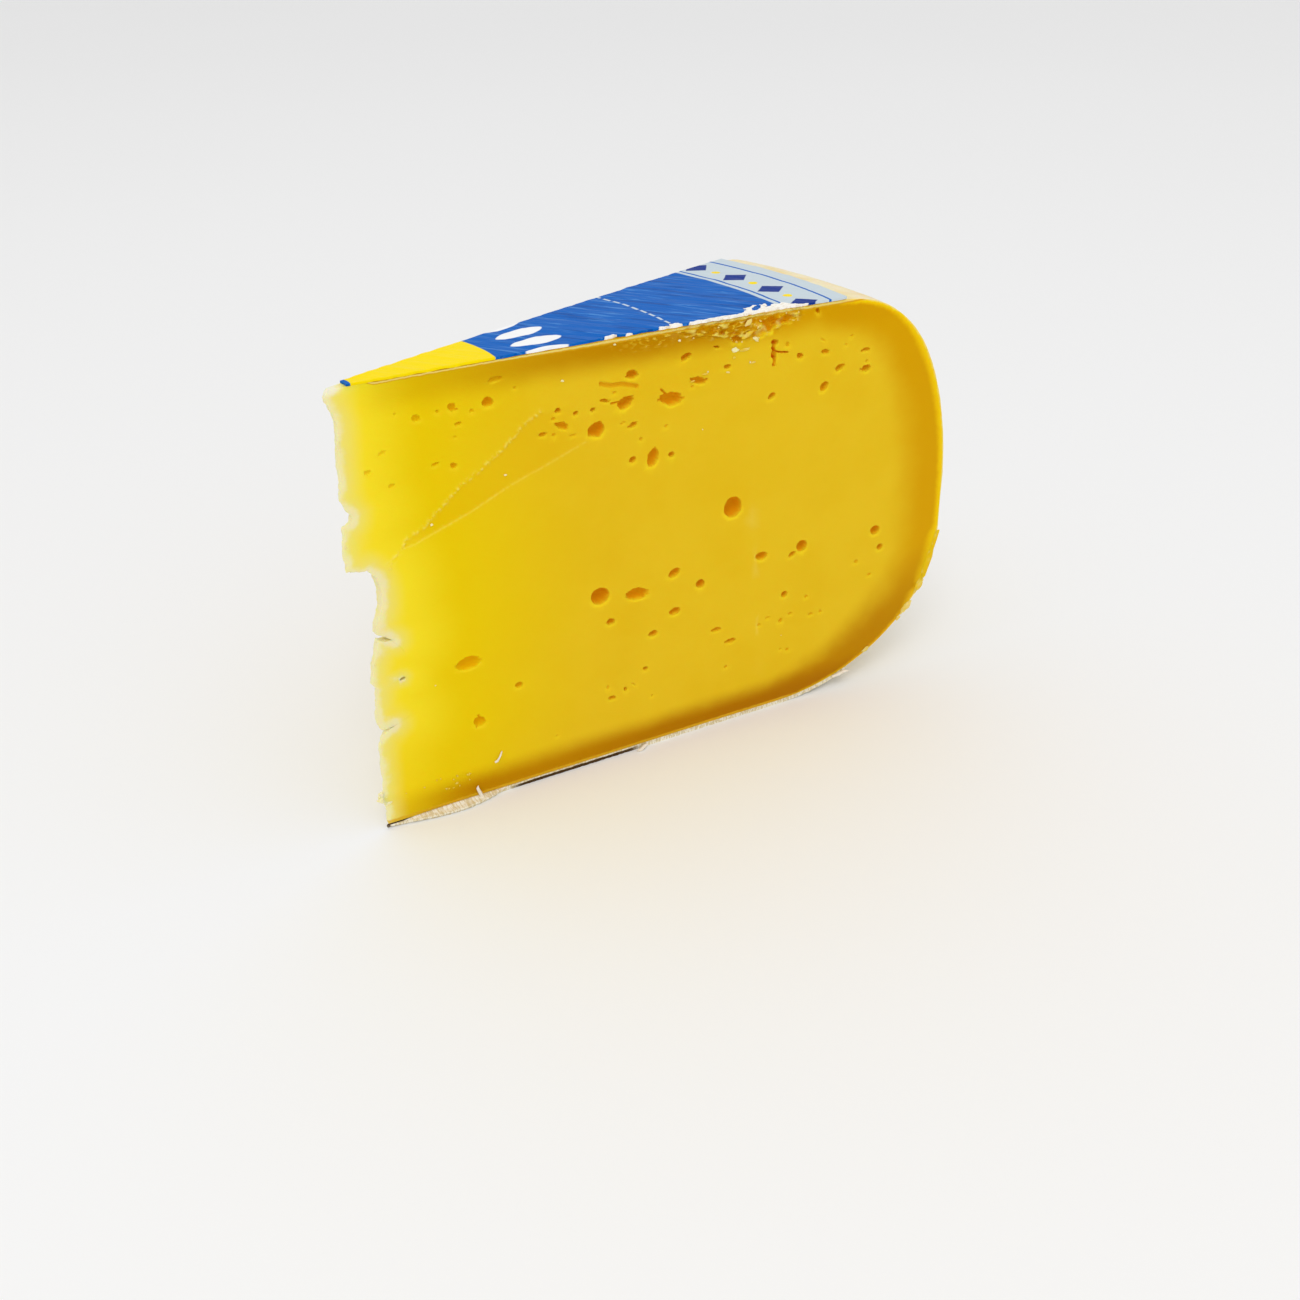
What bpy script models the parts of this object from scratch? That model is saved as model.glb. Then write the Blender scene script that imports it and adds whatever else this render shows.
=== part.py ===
"""A wedge cut from a round, semi-hard cheese.

The wheel is a turned solid. The wedge is what two knife planes leave of it,
with a torn, cracked edge where the planes meet. Gas eyes open on both cut
faces, and the front face has a crumbled patch under its top edge. A printed
paper disc lies on the wheel and a paper backing under it, each cut with the
wedge.

Sizes are in millimetres until they are multiplied by MM. While the pieces are
made, the knife planes meet at x = 0 and the wedge runs along +X, with the
cheese's underside at z = 0. Every piece hangs from one empty, which puts the
origin at the middle of the footprint, on the surface that the wedge stands on.
"""

import math
import random

import bmesh
import bpy
from mathutils import Matrix, Vector, noise

MM = 0.001

# Driving dimensions of the wheel
WHEEL_RADIUS = 168.6
WHEEL_HEIGHT = 114.8
WIDEST_HEIGHT = 43.6
CROWN_RADIUS = 127.0
CROWN_RISE = 1.0
SHOULDER_FULLNESS = 2.58
FOOT_RADIUS = 116.0

# Driving dimensions of the cut
HALF_ANGLE = math.radians(10.4)
KNIFE_MISS = 2.4
TIP_REACH = -2.0

# Driving dimensions of the paper pieces
LABEL_RADIUS = 132.5
LABEL_START = 4.0
LABEL_THICKNESS = 0.3
BACKING_RADIUS = 139.5
BACKING_THICKNESS = 1.2
PIECE_GAP = 0.3

# How finely round shapes are divided
TURN_STEPS = 120
CROWN_STEPS = 5
SHOULDER_STEPS = 13
FOOT_STEPS = 12

# How far cutters reach past what they cut
OVERSHOOT = 30.0

# The torn edge, from the top corner down: distance along the front face from
# the wheel's axis, and height above the underside
TORN_EDGE = [
    (3.2, 117.0), (0.7, 114.3), (2.3, 109.0), (1.9, 104.0), (1.2, 95.0), (0.4, 91.0),
    (1.4, 88.0), (2.6, 86.3), (1.8, 84.4), (0.0, 84.1), (-0.6, 80.0), (-0.7, 73.0),
    (4.1, 72.2), (5.7, 70.0), (6.5, 66.0), (5.8, 61.0), (3.7, 55.2), (7.3, 52.5),
    (4.1, 53.3), (1.6, 47.3), (0.8, 42.0), (1.9, 40.4), (1.3, 37.4), (0.4, 33.0),
    (1.1, 28.4), (4.6, 28.9), (2.0, 27.3), (-0.1, 24.0), (-0.6, 15.0), (-1.0, 9.6),
    (TIP_REACH, 8.3), (-1.0, 5.6), (-1.2, 2.4), (-0.9, -3.0),
]

# The larger eyes of the front face: distance from the axis, height, width,
# height of the opening, and tilt in degrees
FRONT_EYES = [
    (25.0, 40.8, 6.5, 3.6, 5), (26.1, 22.9, 2.9, 3.5, 70), (37.6, 30.3, 2.2, 1.8, 5),
    (36.6, 106.5, 2.6, 2.5, 30), (19.8, 106.0, 2.2, 1.6, -30), (28.2, 106.9, 1.8, 2.2, 0),
    (29.2, 102.8, 1.9, 0.9, 5), (11.2, 99.6, 2.2, 1.0, 28), (12.3, 91.5, 1.7, 1.1, 15),
    (22.9, 94.4, 2.1, 0.9, 18), (27.1, 93.2, 1.6, 1.6, 0), (53.4, 101.1, 1.5, 1.5, 0),
    (54.2, 97.2, 3.9, 1.6, -24), (49.2, 96.0, 2.3, 1.0, 0), (57.8, 99.6, 1.4, 1.1, 10),
    (62.2, 99.6, 1.4, 1.0, 10), (62.8, 94.5, 4.7, 3.6, 35), (70.6, 99.7, 4.2, 3.0, 20),
    (72.6, 106.3, 3.0, 2.3, -10), (69.0, 104.4, 9.0, 1.5, -12), (65.3, 101.2, 2.3, 1.0, -20),
    (72.5, 93.8, 2.3, 1.3, 18), (82.9, 98.3, 6.4, 3.2, -8), (72.0, 84.9, 2.1, 1.6, 25),
    (77.5, 84.3, 4.9, 3.0, 70), (82.6, 84.0, 1.8, 1.5, 0), (87.0, 108.0, 2.8, 1.7, 20),
    (90.4, 101.5, 4.3, 1.7, -14), (98.4, 103.5, 2.2, 1.2, 5), (61.4, 49.8, 5.0, 5.0, 0),
    (71.8, 47.6, 6.4, 3.3, -8), (82.8, 50.8, 3.6, 2.5, 25), (64.0, 41.5, 2.5, 1.9, 0),
    (82.7, 39.3, 3.4, 2.2, 8), (76.1, 34.4, 2.7, 1.9, 12), (73.5, 24.2, 1.6, 1.3, -20),
    (63.3, 18.1, 2.4, 1.3, -5), (67.3, 19.6, 1.5, 1.0, -70), (111.2, 106.9, 2.2, 1.8, 0),
    (111.4, 104.0, 4.4, 1.2, -85), (119.2, 102.6, 2.1, 1.5, -10), (126.7, 102.3, 2.8, 1.2, -10),
    (111.2, 93.6, 2.3, 1.6, 20), (131.3, 97.4, 2.9, 1.6, 15), (126.8, 93.2, 3.2, 2.0, 50),
    (100.2, 65.5, 6.0, 5.2, 80), (90.5, 45.5, 2.7, 2.6, 0), (109.1, 49.0, 3.9, 2.4, -5),
    (121.9, 48.8, 3.5, 3.4, 0), (118.9, 47.0, 2.5, 1.5, 20), (95.2, 29.9, 3.3, 1.3, 0),
    (99.8, 25.1, 3.2, 1.5, 0), (116.8, 35.1, 2.1, 2.0, 0), (139.1, 100.6, 3.2, 1.0, 0),
    (139.6, 95.7, 2.7, 1.9, 15), (146.1, 47.6, 3.1, 2.9, -30), (148.2, 41.8, 2.1, 2.0, 0),
]

# Hollows and crumbs of the broken patch under the front top edge, as above
BROKEN_HOLLOWS = [
    (109.2, 111.6, 4.6, 3.2, 15), (114.0, 112.3, 3.4, 1.6, -15), (100.6, 110.0, 3.0, 1.6, 0),
    (97.2, 112.3, 3.0, 1.4, 0), (104.6, 112.7, 3.2, 1.4, 20), (123.2, 113.2, 1.4, 1.0, -35),
]
CRUMBS = [
    (100.1, 107.5, 2.0, 1.2, 0), (105.7, 109.0, 2.4, 1.0, -30), (103.4, 111.0, 3.0, 1.0, 15),
    (106.2, 114.0, 2.0, 1.2, 40), (97.6, 109.6, 2.2, 1.0, -50), (55.2, 108.0, 1.6, 0.9, 25),
]

# Where the coating has flaked off the front edge of the rind, as above
RIND_CHIPS = [(168.9, 37.0, 6.0, 1.6, 80), (164.2, 24.4, 4.4, 1.8, 62), (158.6, 17.0, 4.2, 1.8, 48)]

# Pieces of the broken patch and of the plain back face are drawn at random
PATCH_START = 88.0
PATCH_END = 118.0
PATCH_PITS = 14
BACK_EYES = 44
SEED = 5


def clear_scene():
    """Remove whatever the scene holds."""
    for old in list(bpy.data.objects):
        bpy.data.objects.remove(old, do_unlink=True)


def new_collection(name):
    """A collection under the scene's own."""
    collection = bpy.data.collections.new(name)
    bpy.context.scene.collection.children.link(collection)
    return collection


def new_object(name, data, collection, frame):
    """An object of this data, hung from the frame's empty."""
    made = bpy.data.objects.new(name, data)
    collection.objects.link(made)
    made.parent = frame
    return made


def hide_helper(helper):
    """Keep a cutter out of the model."""
    helper.hide_render = True
    helper.display_type = "WIRE"


def plain_material(name, colour, roughness):
    """A Principled material of one colour."""
    material = bpy.data.materials.new(name)
    material.use_nodes = True
    shader = material.node_tree.nodes["Principled BSDF"]
    shader.inputs["Base Color"].default_value = (*colour, 1.0)
    shader.inputs["Roughness"].default_value = roughness
    shader.inputs["Metallic"].default_value = 0.0
    return material


def crown_points(radius, lift):
    """The gently domed top from the axis out to a radius, raised by lift."""
    points = []
    for step in range(CROWN_STEPS + 1):
        reach = radius * step / CROWN_STEPS
        rise = CROWN_RISE * (1.0 - (reach / CROWN_RADIUS) ** 2)
        points.append((reach, WHEEL_HEIGHT + rise + lift))
    return points


def shoulder_points():
    """The full quarter oval from the crown's edge down to the widest height."""
    points = []
    power = 2.0 / SHOULDER_FULLNESS
    for step in range(1, SHOULDER_STEPS + 1):
        turn = 0.5 * math.pi * step / SHOULDER_STEPS
        reach = CROWN_RADIUS + (WHEEL_RADIUS - CROWN_RADIUS) * math.sin(turn) ** power
        height = WIDEST_HEIGHT + (WHEEL_HEIGHT - WIDEST_HEIGHT) * max(math.cos(turn), 0.0) ** power
        points.append((reach, height))
    return points


def foot_point(turn, drop):
    """A point of the foot's quarter ellipse, moved out of the cheese by drop."""
    width = WHEEL_RADIUS - FOOT_RADIUS
    outward = Vector((math.sin(turn) / width, -math.cos(turn) / WIDEST_HEIGHT)).normalized()
    reach = FOOT_RADIUS + width * math.sin(turn) + outward.x * drop
    height = WIDEST_HEIGHT * (1.0 - math.cos(turn)) + outward.y * drop
    return (reach, height)


def wheel_outline():
    """The wheel's profile from the top of its axis to the bottom."""
    outline = crown_points(CROWN_RADIUS, 0.0) + shoulder_points()
    for step in range(FOOT_STEPS - 1, -1, -1):
        outline.append(foot_point(0.5 * math.pi * step / FOOT_STEPS, 0.0))
    outline.append((0.0, 0.0))
    return outline


def label_outline():
    """The profile of the paper disc that lies on the crown."""
    upper = crown_points(LABEL_RADIUS, PIECE_GAP + LABEL_THICKNESS)
    lower = crown_points(LABEL_RADIUS, PIECE_GAP)
    return upper + lower[::-1]


def backing_outline():
    """The profile of the paper that follows the underside out to its own radius."""
    steps = 5
    last_turn = math.asin((BACKING_RADIUS - FOOT_RADIUS) / (WHEEL_RADIUS - FOOT_RADIUS))
    turns = [last_turn * step / steps for step in range(steps + 1)]
    upper = [foot_point(turn, PIECE_GAP) for turn in turns]
    lower = [foot_point(turn, PIECE_GAP + BACKING_THICKNESS) for turn in turns]
    return [(0.0, -PIECE_GAP)] + upper + lower[::-1] + [(0.0, -PIECE_GAP - BACKING_THICKNESS)]


def turned_piece(name, outline, collection, frame):
    """A full disc turned from a profile about the wheel's axis."""
    mesh = bpy.data.meshes.new(name)
    places = [(reach * MM, 0.0, height * MM) for reach, height in outline]
    edges = [(step, step + 1) for step in range(len(places) - 1)]
    mesh.from_pydata(places, edges, [])
    piece = new_object(name, mesh, collection, frame)
    piece.location.x = KNIFE_MISS * MM
    turning = piece.modifiers.new("Turning", "SCREW")
    turning.axis = "Z"
    turning.angle = 2.0 * math.pi
    turning.steps = TURN_STEPS
    turning.render_steps = TURN_STEPS
    turning.use_merge_vertices = True
    turning.merge_threshold = 0.01 * MM
    return piece


def outline_cutter(name, outline, half_depth, upright, collection, frame):
    """A straight prism over an outline, lying flat or standing along the wedge."""
    curve = bpy.data.curves.new(name, "CURVE")
    curve.dimensions = "2D"
    curve.fill_mode = "BOTH"
    curve.extrude = half_depth * MM
    spline = curve.splines.new("POLY")
    spline.points.add(len(outline) - 1)
    for point, (across, along) in zip(spline.points, outline):
        point.co = (across * MM, along * MM, 0.0, 1.0)
    spline.use_cyclic_u = True
    drawn = new_object(name + "_outline", curve, collection, None)
    if upright:
        drawn.rotation_euler.x = 0.5 * math.pi
    bpy.context.view_layer.update()
    solid = bpy.data.meshes.new_from_object(drawn.evaluated_get(bpy.context.evaluated_depsgraph_get()))
    welded = bmesh.new()
    welded.from_mesh(solid)
    bmesh.ops.remove_doubles(welded, verts=welded.verts, dist=0.001 * MM)
    bmesh.ops.recalc_face_normals(welded, faces=welded.faces)
    welded.to_mesh(solid)
    welded.free()
    cutter = new_object(name, solid, collection, frame)
    cutter.matrix_local = drawn.matrix_world.copy()
    bpy.data.objects.remove(drawn, do_unlink=True)
    hide_helper(cutter)
    return cutter


def apply_cutter(piece, cutter, operation, solver="EXACT"):
    """Combine a piece with one cutter, or with every object of a collection."""
    cut = piece.modifiers.new("Cut", "BOOLEAN")
    cut.operation = operation
    cut.solver = solver
    if isinstance(cutter, bpy.types.Collection):
        cut.operand_type = "COLLECTION"
        cut.collection = cutter
    else:
        cut.object = cutter


def face_frame(distance, height, tilt, side):
    """Axes at a place on a cut face: along the opening, out of the face, and across it."""
    along = Vector((math.cos(HALF_ANGLE), side * math.sin(HALF_ANGLE), 0.0))
    outward = Vector((-math.sin(HALF_ANGLE), side * math.cos(HALF_ANGLE), 0.0))
    place = along * (distance + KNIFE_MISS) + Vector((0.0, 0.0, height))
    turn = math.radians(tilt)
    first = along * math.cos(turn) + Vector((0.0, 0.0, math.sin(turn)))
    across = first.cross(outward)
    axes = Matrix((first, outward, across)).transposed().to_4x4()
    return Matrix.Translation(place * MM) @ axes


def rough_ball(name, blob, depth, side, roughness, collection, frame):
    """An uneven ball on a cut face, for an eye, a chip or a crumb."""
    distance, height, width, tall, tilt = blob
    detail = 2 if max(width, tall) > 2.4 else 1
    ball = bmesh.new()
    bmesh.ops.create_icosphere(ball, subdivisions=detail, radius=1.0)
    for vertex in ball.verts:
        place = vertex.co * 1.7 + Vector((distance, height, 3.1))
        vertex.co *= 1.0 + roughness * noise.noise(place)
    size = Matrix.Diagonal((0.5 * width * MM, depth * MM, 0.5 * tall * MM, 1.0))
    ball.transform(face_frame(distance, height, tilt, side) @ size)
    mesh = bpy.data.meshes.new(name)
    ball.to_mesh(mesh)
    ball.free()
    made = new_object(name, mesh, collection, frame)
    hide_helper(made)
    return made


def eye_depth(blob):
    """How deep an eye goes: most of its smaller opening."""
    return 0.65 * min(blob[2], blob[3]) + 0.35


def wedge_plan(front_edge):
    """The wedge seen from above, closed along the back knife plane."""
    reach = WHEEL_RADIUS + OVERSHOOT
    back = (reach * math.cos(HALF_ANGLE), reach * math.sin(HALF_ANGLE))
    front = (reach * math.cos(HALF_ANGLE), -reach * math.sin(HALF_ANGLE))
    return front_edge + [front, back]


def front_edge_point(distance, outward):
    """A plan point beside the front knife plane."""
    along = distance + KNIFE_MISS
    across = along * math.cos(HALF_ANGLE) - outward * math.sin(HALF_ANGLE)
    aside = -along * math.sin(HALF_ANGLE) - outward * math.cos(HALF_ANGLE)
    return (across, aside)


def label_plan():
    """The label's plan: straight cuts, torn along the front over the broken patch."""
    draw = random.Random(SEED)
    start = (LABEL_START + KNIFE_MISS) * math.cos(HALF_ANGLE)
    side = (LABEL_START + KNIFE_MISS) * math.sin(HALF_ANGLE)
    edge = [(start, side), (start, -side)]
    for step in range(27):
        edge.append(front_edge_point(66.0 + 2.0 * step, -draw.uniform(0.1, 0.8)))
    edge.append(front_edge_point(121.0, 0.0))
    return wedge_plan(edge)


def backing_plan():
    """The backing's plan: a loose flap bulges out in front of the thin end."""
    draw = random.Random(SEED + 1)
    flap_length = 32.0
    flap_depth = 2.6
    edge = [(0.4 * KNIFE_MISS, 0.0)]
    for step in range(17):
        part = step / 16.0
        bulge = flap_depth * math.sin(math.pi * part**1.25) + draw.uniform(-0.1, 0.2)
        edge.append(front_edge_point(flap_length * part - 1.0, max(bulge, 0.05)))
    for step in range(18):
        edge.append(front_edge_point(35.0 + 6.0 * step, draw.uniform(-0.4, 0.1)))
    return wedge_plan(edge)


def torn_edge_plan():
    """What the tearing took away, seen from the front of the wedge."""
    slope = math.cos(HALF_ANGLE)
    edge = [((distance + KNIFE_MISS) * slope, height) for distance, height in TORN_EDGE]
    return edge + [(-OVERSHOOT, TORN_EDGE[-1][1]), (-OVERSHOOT, TORN_EDGE[0][1])]


def back_face_eyes():
    """Eyes of the back face, in the two loose bands that the front has."""
    draw = random.Random(SEED + 2)
    eyes = []
    while len(eyes) < BACK_EYES:
        distance = draw.uniform(12.0, 148.0)
        height = draw.choice((draw.gauss(99.0, 6.0), draw.gauss(40.0, 13.0)))
        width = 1.2 + 4.2 * draw.random() ** 2.5
        apart = all(math.hypot(distance - eye[0], height - eye[1]) > 5.0 for eye in eyes)
        if 14.0 < height < 109.0 and apart:
            eyes.append((distance, height, width, width * draw.uniform(0.55, 1.0), draw.uniform(-40, 40)))
    return eyes


def patch_pits():
    """Small pits scattered over the broken patch."""
    draw = random.Random(SEED + 3)
    pits = []
    for step in range(PATCH_PITS):
        distance = PATCH_START + (PATCH_END - PATCH_START) * (step + draw.random()) / PATCH_PITS
        pits.append((distance, draw.uniform(109.5, 114.0), draw.uniform(1.2, 2.2), draw.uniform(0.8, 1.3), 0))
    return pits


def make_eye_cutters(collection, frame):
    """Every hollow of both cut faces, with the chips of the rind's edge."""
    hollows = [(blob, -1.0, 0.35) for blob in FRONT_EYES]
    hollows += [(blob, 1.0, 0.35) for blob in back_face_eyes()]
    hollows += [(blob, -1.0, 0.7) for blob in BROKEN_HOLLOWS + patch_pits()]
    hollows += [(blob, -1.0, 0.8) for blob in RIND_CHIPS]
    for number, (blob, side, roughness) in enumerate(hollows):
        rough_ball(f"hollow_{number:03d}", blob, eye_depth(blob), side, roughness, collection, frame)
    tip_hole = (7.9, 41.6, 1.7, 0.8, 15)
    rough_ball("tip_hole", tip_hole, 6.0, -1.0, 0.2, collection, frame)


def make_crumbs(collection, frame):
    """Crumbs that stay stuck to the broken patch."""
    for number, blob in enumerate(CRUMBS):
        rough_ball(f"crumb_{number}", blob, 0.6, -1.0, 0.6, collection, frame)


def make_cheese(parts, cutters, frame):
    """The cheese itself, with its rind, eyes, cracks and torn edge."""
    cheese = turned_piece("cheese", wheel_outline(), parts, frame)
    tall = WHEEL_HEIGHT + OVERSHOOT
    knives = outline_cutter("knife_planes", wedge_plan([(0.0, 0.0)]), tall, False, cutters, frame)
    torn = outline_cutter("torn_edge", torn_edge_plan(), OVERSHOOT, True, cutters, frame)
    crumbs = new_collection("crumbs")
    make_crumbs(crumbs, frame)
    hollows = new_collection("hollows")
    make_eye_cutters(hollows, frame)
    apply_cutter(cheese, knives, "INTERSECT")
    apply_cutter(cheese, torn, "DIFFERENCE")
    apply_cutter(cheese, crumbs, "UNION")
    # Many hollows overlap each other, where the exact solver leaves open edges
    apply_cutter(cheese, hollows, "DIFFERENCE", "MANIFOLD")
    cheese.data.materials.append(plain_material("cheese_paste", (0.74, 0.48, 0.03), 0.45))
    return cheese


def make_label(parts, cutters, frame):
    """The printed paper disc on top."""
    label = turned_piece("top_label", label_outline(), parts, frame)
    tall = WHEEL_HEIGHT + OVERSHOOT
    plan = outline_cutter("label_plan", label_plan(), tall, False, cutters, frame)
    apply_cutter(label, plan, "INTERSECT")
    label.data.materials.append(plain_material("printed_paper", (0.03, 0.11, 0.50), 0.5))
    return label


def make_backing(parts, cutters, frame):
    """The paper backing that the wedge stands on."""
    backing = turned_piece("bottom_paper", backing_outline(), parts, frame)
    plan = outline_cutter("backing_plan", backing_plan(), OVERSHOOT, False, cutters, frame)
    apply_cutter(backing, plan, "INTERSECT")
    backing.data.materials.append(plain_material("backing_paper", (0.75, 0.66, 0.47), 0.8))
    return backing


def make_frame():
    """The empty that sets every piece about the middle of the footprint."""
    frame = bpy.data.objects.new("footprint", None)
    bpy.context.scene.collection.objects.link(frame)
    nearest = (TIP_REACH + KNIFE_MISS) * math.cos(HALF_ANGLE)
    farthest = WHEEL_RADIUS + KNIFE_MISS
    frame.location = (-0.5 * (nearest + farthest) * MM, 0.0, (BACKING_THICKNESS + PIECE_GAP) * MM)
    return frame


def main():
    clear_scene()
    parts = new_collection("cheese_wedge")
    cutters = new_collection("cutters")
    frame = make_frame()
    make_cheese(parts, cutters, frame)
    make_label(parts, cutters, frame)
    make_backing(parts, cutters, frame)


main()
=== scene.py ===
# %% [markdown]
# # A wedge of semi-hard cheese
#
# This lesson dresses a cheese wedge round solids that already have the right size. It was cut from a
# wheel: two flat faces show the paste with its gas eyes, the curved end keeps its coating, a printed
# paper lies on top and a paper backing underneath. The thin edge is torn, so light shines through it.

import math
import random
from contextlib import contextmanager

import bmesh
import bpy
import numpy as np
from mathutils import Matrix, Vector, noise


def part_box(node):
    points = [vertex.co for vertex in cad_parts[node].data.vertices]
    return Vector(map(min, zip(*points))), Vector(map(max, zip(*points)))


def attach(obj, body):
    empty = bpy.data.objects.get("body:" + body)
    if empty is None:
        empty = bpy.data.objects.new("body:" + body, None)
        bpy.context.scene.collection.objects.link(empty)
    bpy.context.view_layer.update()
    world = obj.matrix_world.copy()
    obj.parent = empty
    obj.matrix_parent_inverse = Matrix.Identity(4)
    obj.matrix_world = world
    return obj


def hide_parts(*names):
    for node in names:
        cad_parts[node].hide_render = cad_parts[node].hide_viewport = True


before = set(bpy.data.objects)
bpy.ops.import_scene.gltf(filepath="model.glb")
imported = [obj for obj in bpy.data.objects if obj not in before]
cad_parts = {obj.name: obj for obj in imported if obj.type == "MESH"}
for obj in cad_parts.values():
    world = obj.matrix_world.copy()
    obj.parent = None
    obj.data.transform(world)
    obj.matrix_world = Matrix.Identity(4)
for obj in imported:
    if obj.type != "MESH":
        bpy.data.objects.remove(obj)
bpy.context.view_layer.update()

# %% [markdown]
# ## The measures everything hangs on
#
# A wheel of cheese is a turned shape, so a few radii and heights describe it. The two knife cuts meet
# on a line that misses the wheel's axis by a little. Sizes are in millimetres, times MM for metres.

# %% Measures in millimetres
MM = 0.001
WHEEL_RADIUS = 168.6
WHEEL_HEIGHT = 114.8
WIDEST_HEIGHT = 43.6
CROWN_RADIUS = 127.0
CROWN_RISE = 1.0
SHOULDER_FULLNESS = 2.58
FOOT_RADIUS = 116.0
HALF_ANGLE = math.radians(10.4)
KNIFE_MISS = 2.4

cheese_low, cheese_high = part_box("cheese")
KNIFE_X = cheese_high.x / MM - WHEEL_RADIUS - KNIFE_MISS
UNDER_Z = cheese_low.z / MM
ALONG = {side: Vector((math.cos(HALF_ANGLE), side * math.sin(HALF_ANGLE), 0.0)) for side in (-1, 1)}
OUTWARD = {side: Vector((-math.sin(HALF_ANGLE), side * math.cos(HALF_ANGLE), 0.0)) for side in (-1, 1)}
print(f"the knife cuts meet at x = {KNIFE_X:.1f} mm, the underside is at z = {UNDER_Z:.1f} mm")


def face_point(distance, height, outward=0.0, side=-1):
    """A place on a cut face, by its distance from the wheel's axis and its height, in metres."""
    spot = ALONG[side] * (distance + KNIFE_MISS) + OUTWARD[side] * outward
    return (spot + Vector((KNIFE_X, 0.0, UNDER_Z + height))) * MM


# %% [markdown]
# ## Small helpers for modelling by hand
#
# Edit-mode operators act on whatever is selected, so each helper first deselects all and then picks its
# own faces. A line is drawn as by hand: one vertex, extruded from point to point.

# %% Helpers for modelling
def only(*pieces):
    """Select these objects and make the first active."""
    bpy.ops.object.select_all(action="DESELECT")
    for piece in pieces:
        piece.select_set(True)
    bpy.context.view_layer.objects.active = pieces[0]


def added(add, name, **settings):
    """Add a primitive with nothing else selected, and name it."""
    bpy.ops.object.select_all(action="DESELECT")
    add(**settings)
    bpy.context.object.name = name
    return bpy.context.object


@contextmanager
def editing(piece, mode="VERT"):
    """Open a piece in edit mode with all of it selected, and close it afterwards."""
    only(piece)
    bpy.ops.object.mode_set(mode="EDIT")
    bpy.ops.mesh.select_mode(type=mode)
    bpy.ops.mesh.select_all(action="SELECT")
    yield
    bpy.ops.object.mode_set(mode="OBJECT")


def extrude(way):
    """Extrude what is selected."""
    bpy.ops.mesh.extrude_region_move(TRANSFORM_OT_translate={"value": way})


def face_outward():
    """Turn all faces of the open mesh outwards."""
    bpy.ops.mesh.select_all(action="SELECT")
    bpy.ops.mesh.normals_make_consistent(inside=False)


def draw_line(name, points, closed=False):
    """Draw a line of edges by extruding a single vertex."""
    drawn = added(bpy.ops.mesh.primitive_plane_add, name, size=MM)
    with editing(drawn):
        bpy.ops.mesh.merge(type="CENTER")
        bpy.ops.transform.translate(value=points[0])
        for before, after in zip(points, points[1:]):
            extrude(after - before)
        if closed:
            bpy.ops.mesh.select_all(action="SELECT")
            bpy.ops.mesh.edge_face_add()
    return drawn


def apply_modifier(piece, kind, **settings):
    """Add a modifier, set it and apply it."""
    only(piece)
    made = piece.modifiers.new(kind, kind)
    for name, value in settings.items():
        setattr(made, name, value)
    bpy.ops.object.modifier_apply(modifier=made.name)


def boolean(piece, cutter, operation):
    """Cut a piece with another object, which is then thrown away."""
    apply_modifier(piece, "BOOLEAN", operation=operation, solver="EXACT", object=cutter)
    bpy.data.objects.remove(cutter, do_unlink=True)


def shade(piece, degrees):
    """Shade smooth, with edges sharper than this left crisp."""
    only(piece)
    bpy.ops.object.shade_smooth_by_angle(angle=math.radians(degrees))


def vertex_places(piece):
    """All vertex places of a mesh, as rows of three numbers in metres."""
    places = np.empty(3 * len(piece.data.vertices), np.float32)
    piece.data.vertices.foreach_get("co", places)
    return places.reshape(-1, 3).astype(float)


def set_places(piece, places):
    """Write the vertex places back."""
    piece.data.vertices.foreach_set("co", places.astype(np.float32).ravel())
    piece.data.update()


def set_attribute(piece, name, values):
    """Keep one number for each vertex, for a material to read."""
    layer = piece.data.attributes.new(name, "FLOAT", "POINT")
    layer.data.foreach_set("value", np.asarray(values, np.float32))


def smooth(value, low, high):
    """Rise softly from 0 at low to 1 at high."""
    part = np.clip((value - low) / (high - low), 0.0, 1.0)
    return part * part * (3.0 - 2.0 * part)


def roughness_at(places, grain, octaves=3, seed=0.0):
    """Fractal noise at each place, with features about one grain wide."""
    scaled = np.asarray(places) / grain + seed
    return np.array([noise.fractal(Vector(place), 1.0, 2.0, octaves) for place in scaled])


# %% [markdown]
# ## Turning the wheel
#
# The profile is drawn once and spun about the axis, which gets the crown, the shoulder and the foot right
# at once. It runs from the middle of the top, over the shoulder and the foot, back to the axis.

# %% Draw and spin the profile
CROWN_STEPS = 24
SHOULDER_STEPS = 30
FOOT_STEPS = 24
UNDER_STEPS = 20
TURN_STEPS = 180


def crown_height(reach):
    """The height of the domed top at a distance from the axis."""
    return WHEEL_HEIGHT + CROWN_RISE * (1.0 - (reach / CROWN_RADIUS) ** 2)


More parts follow.
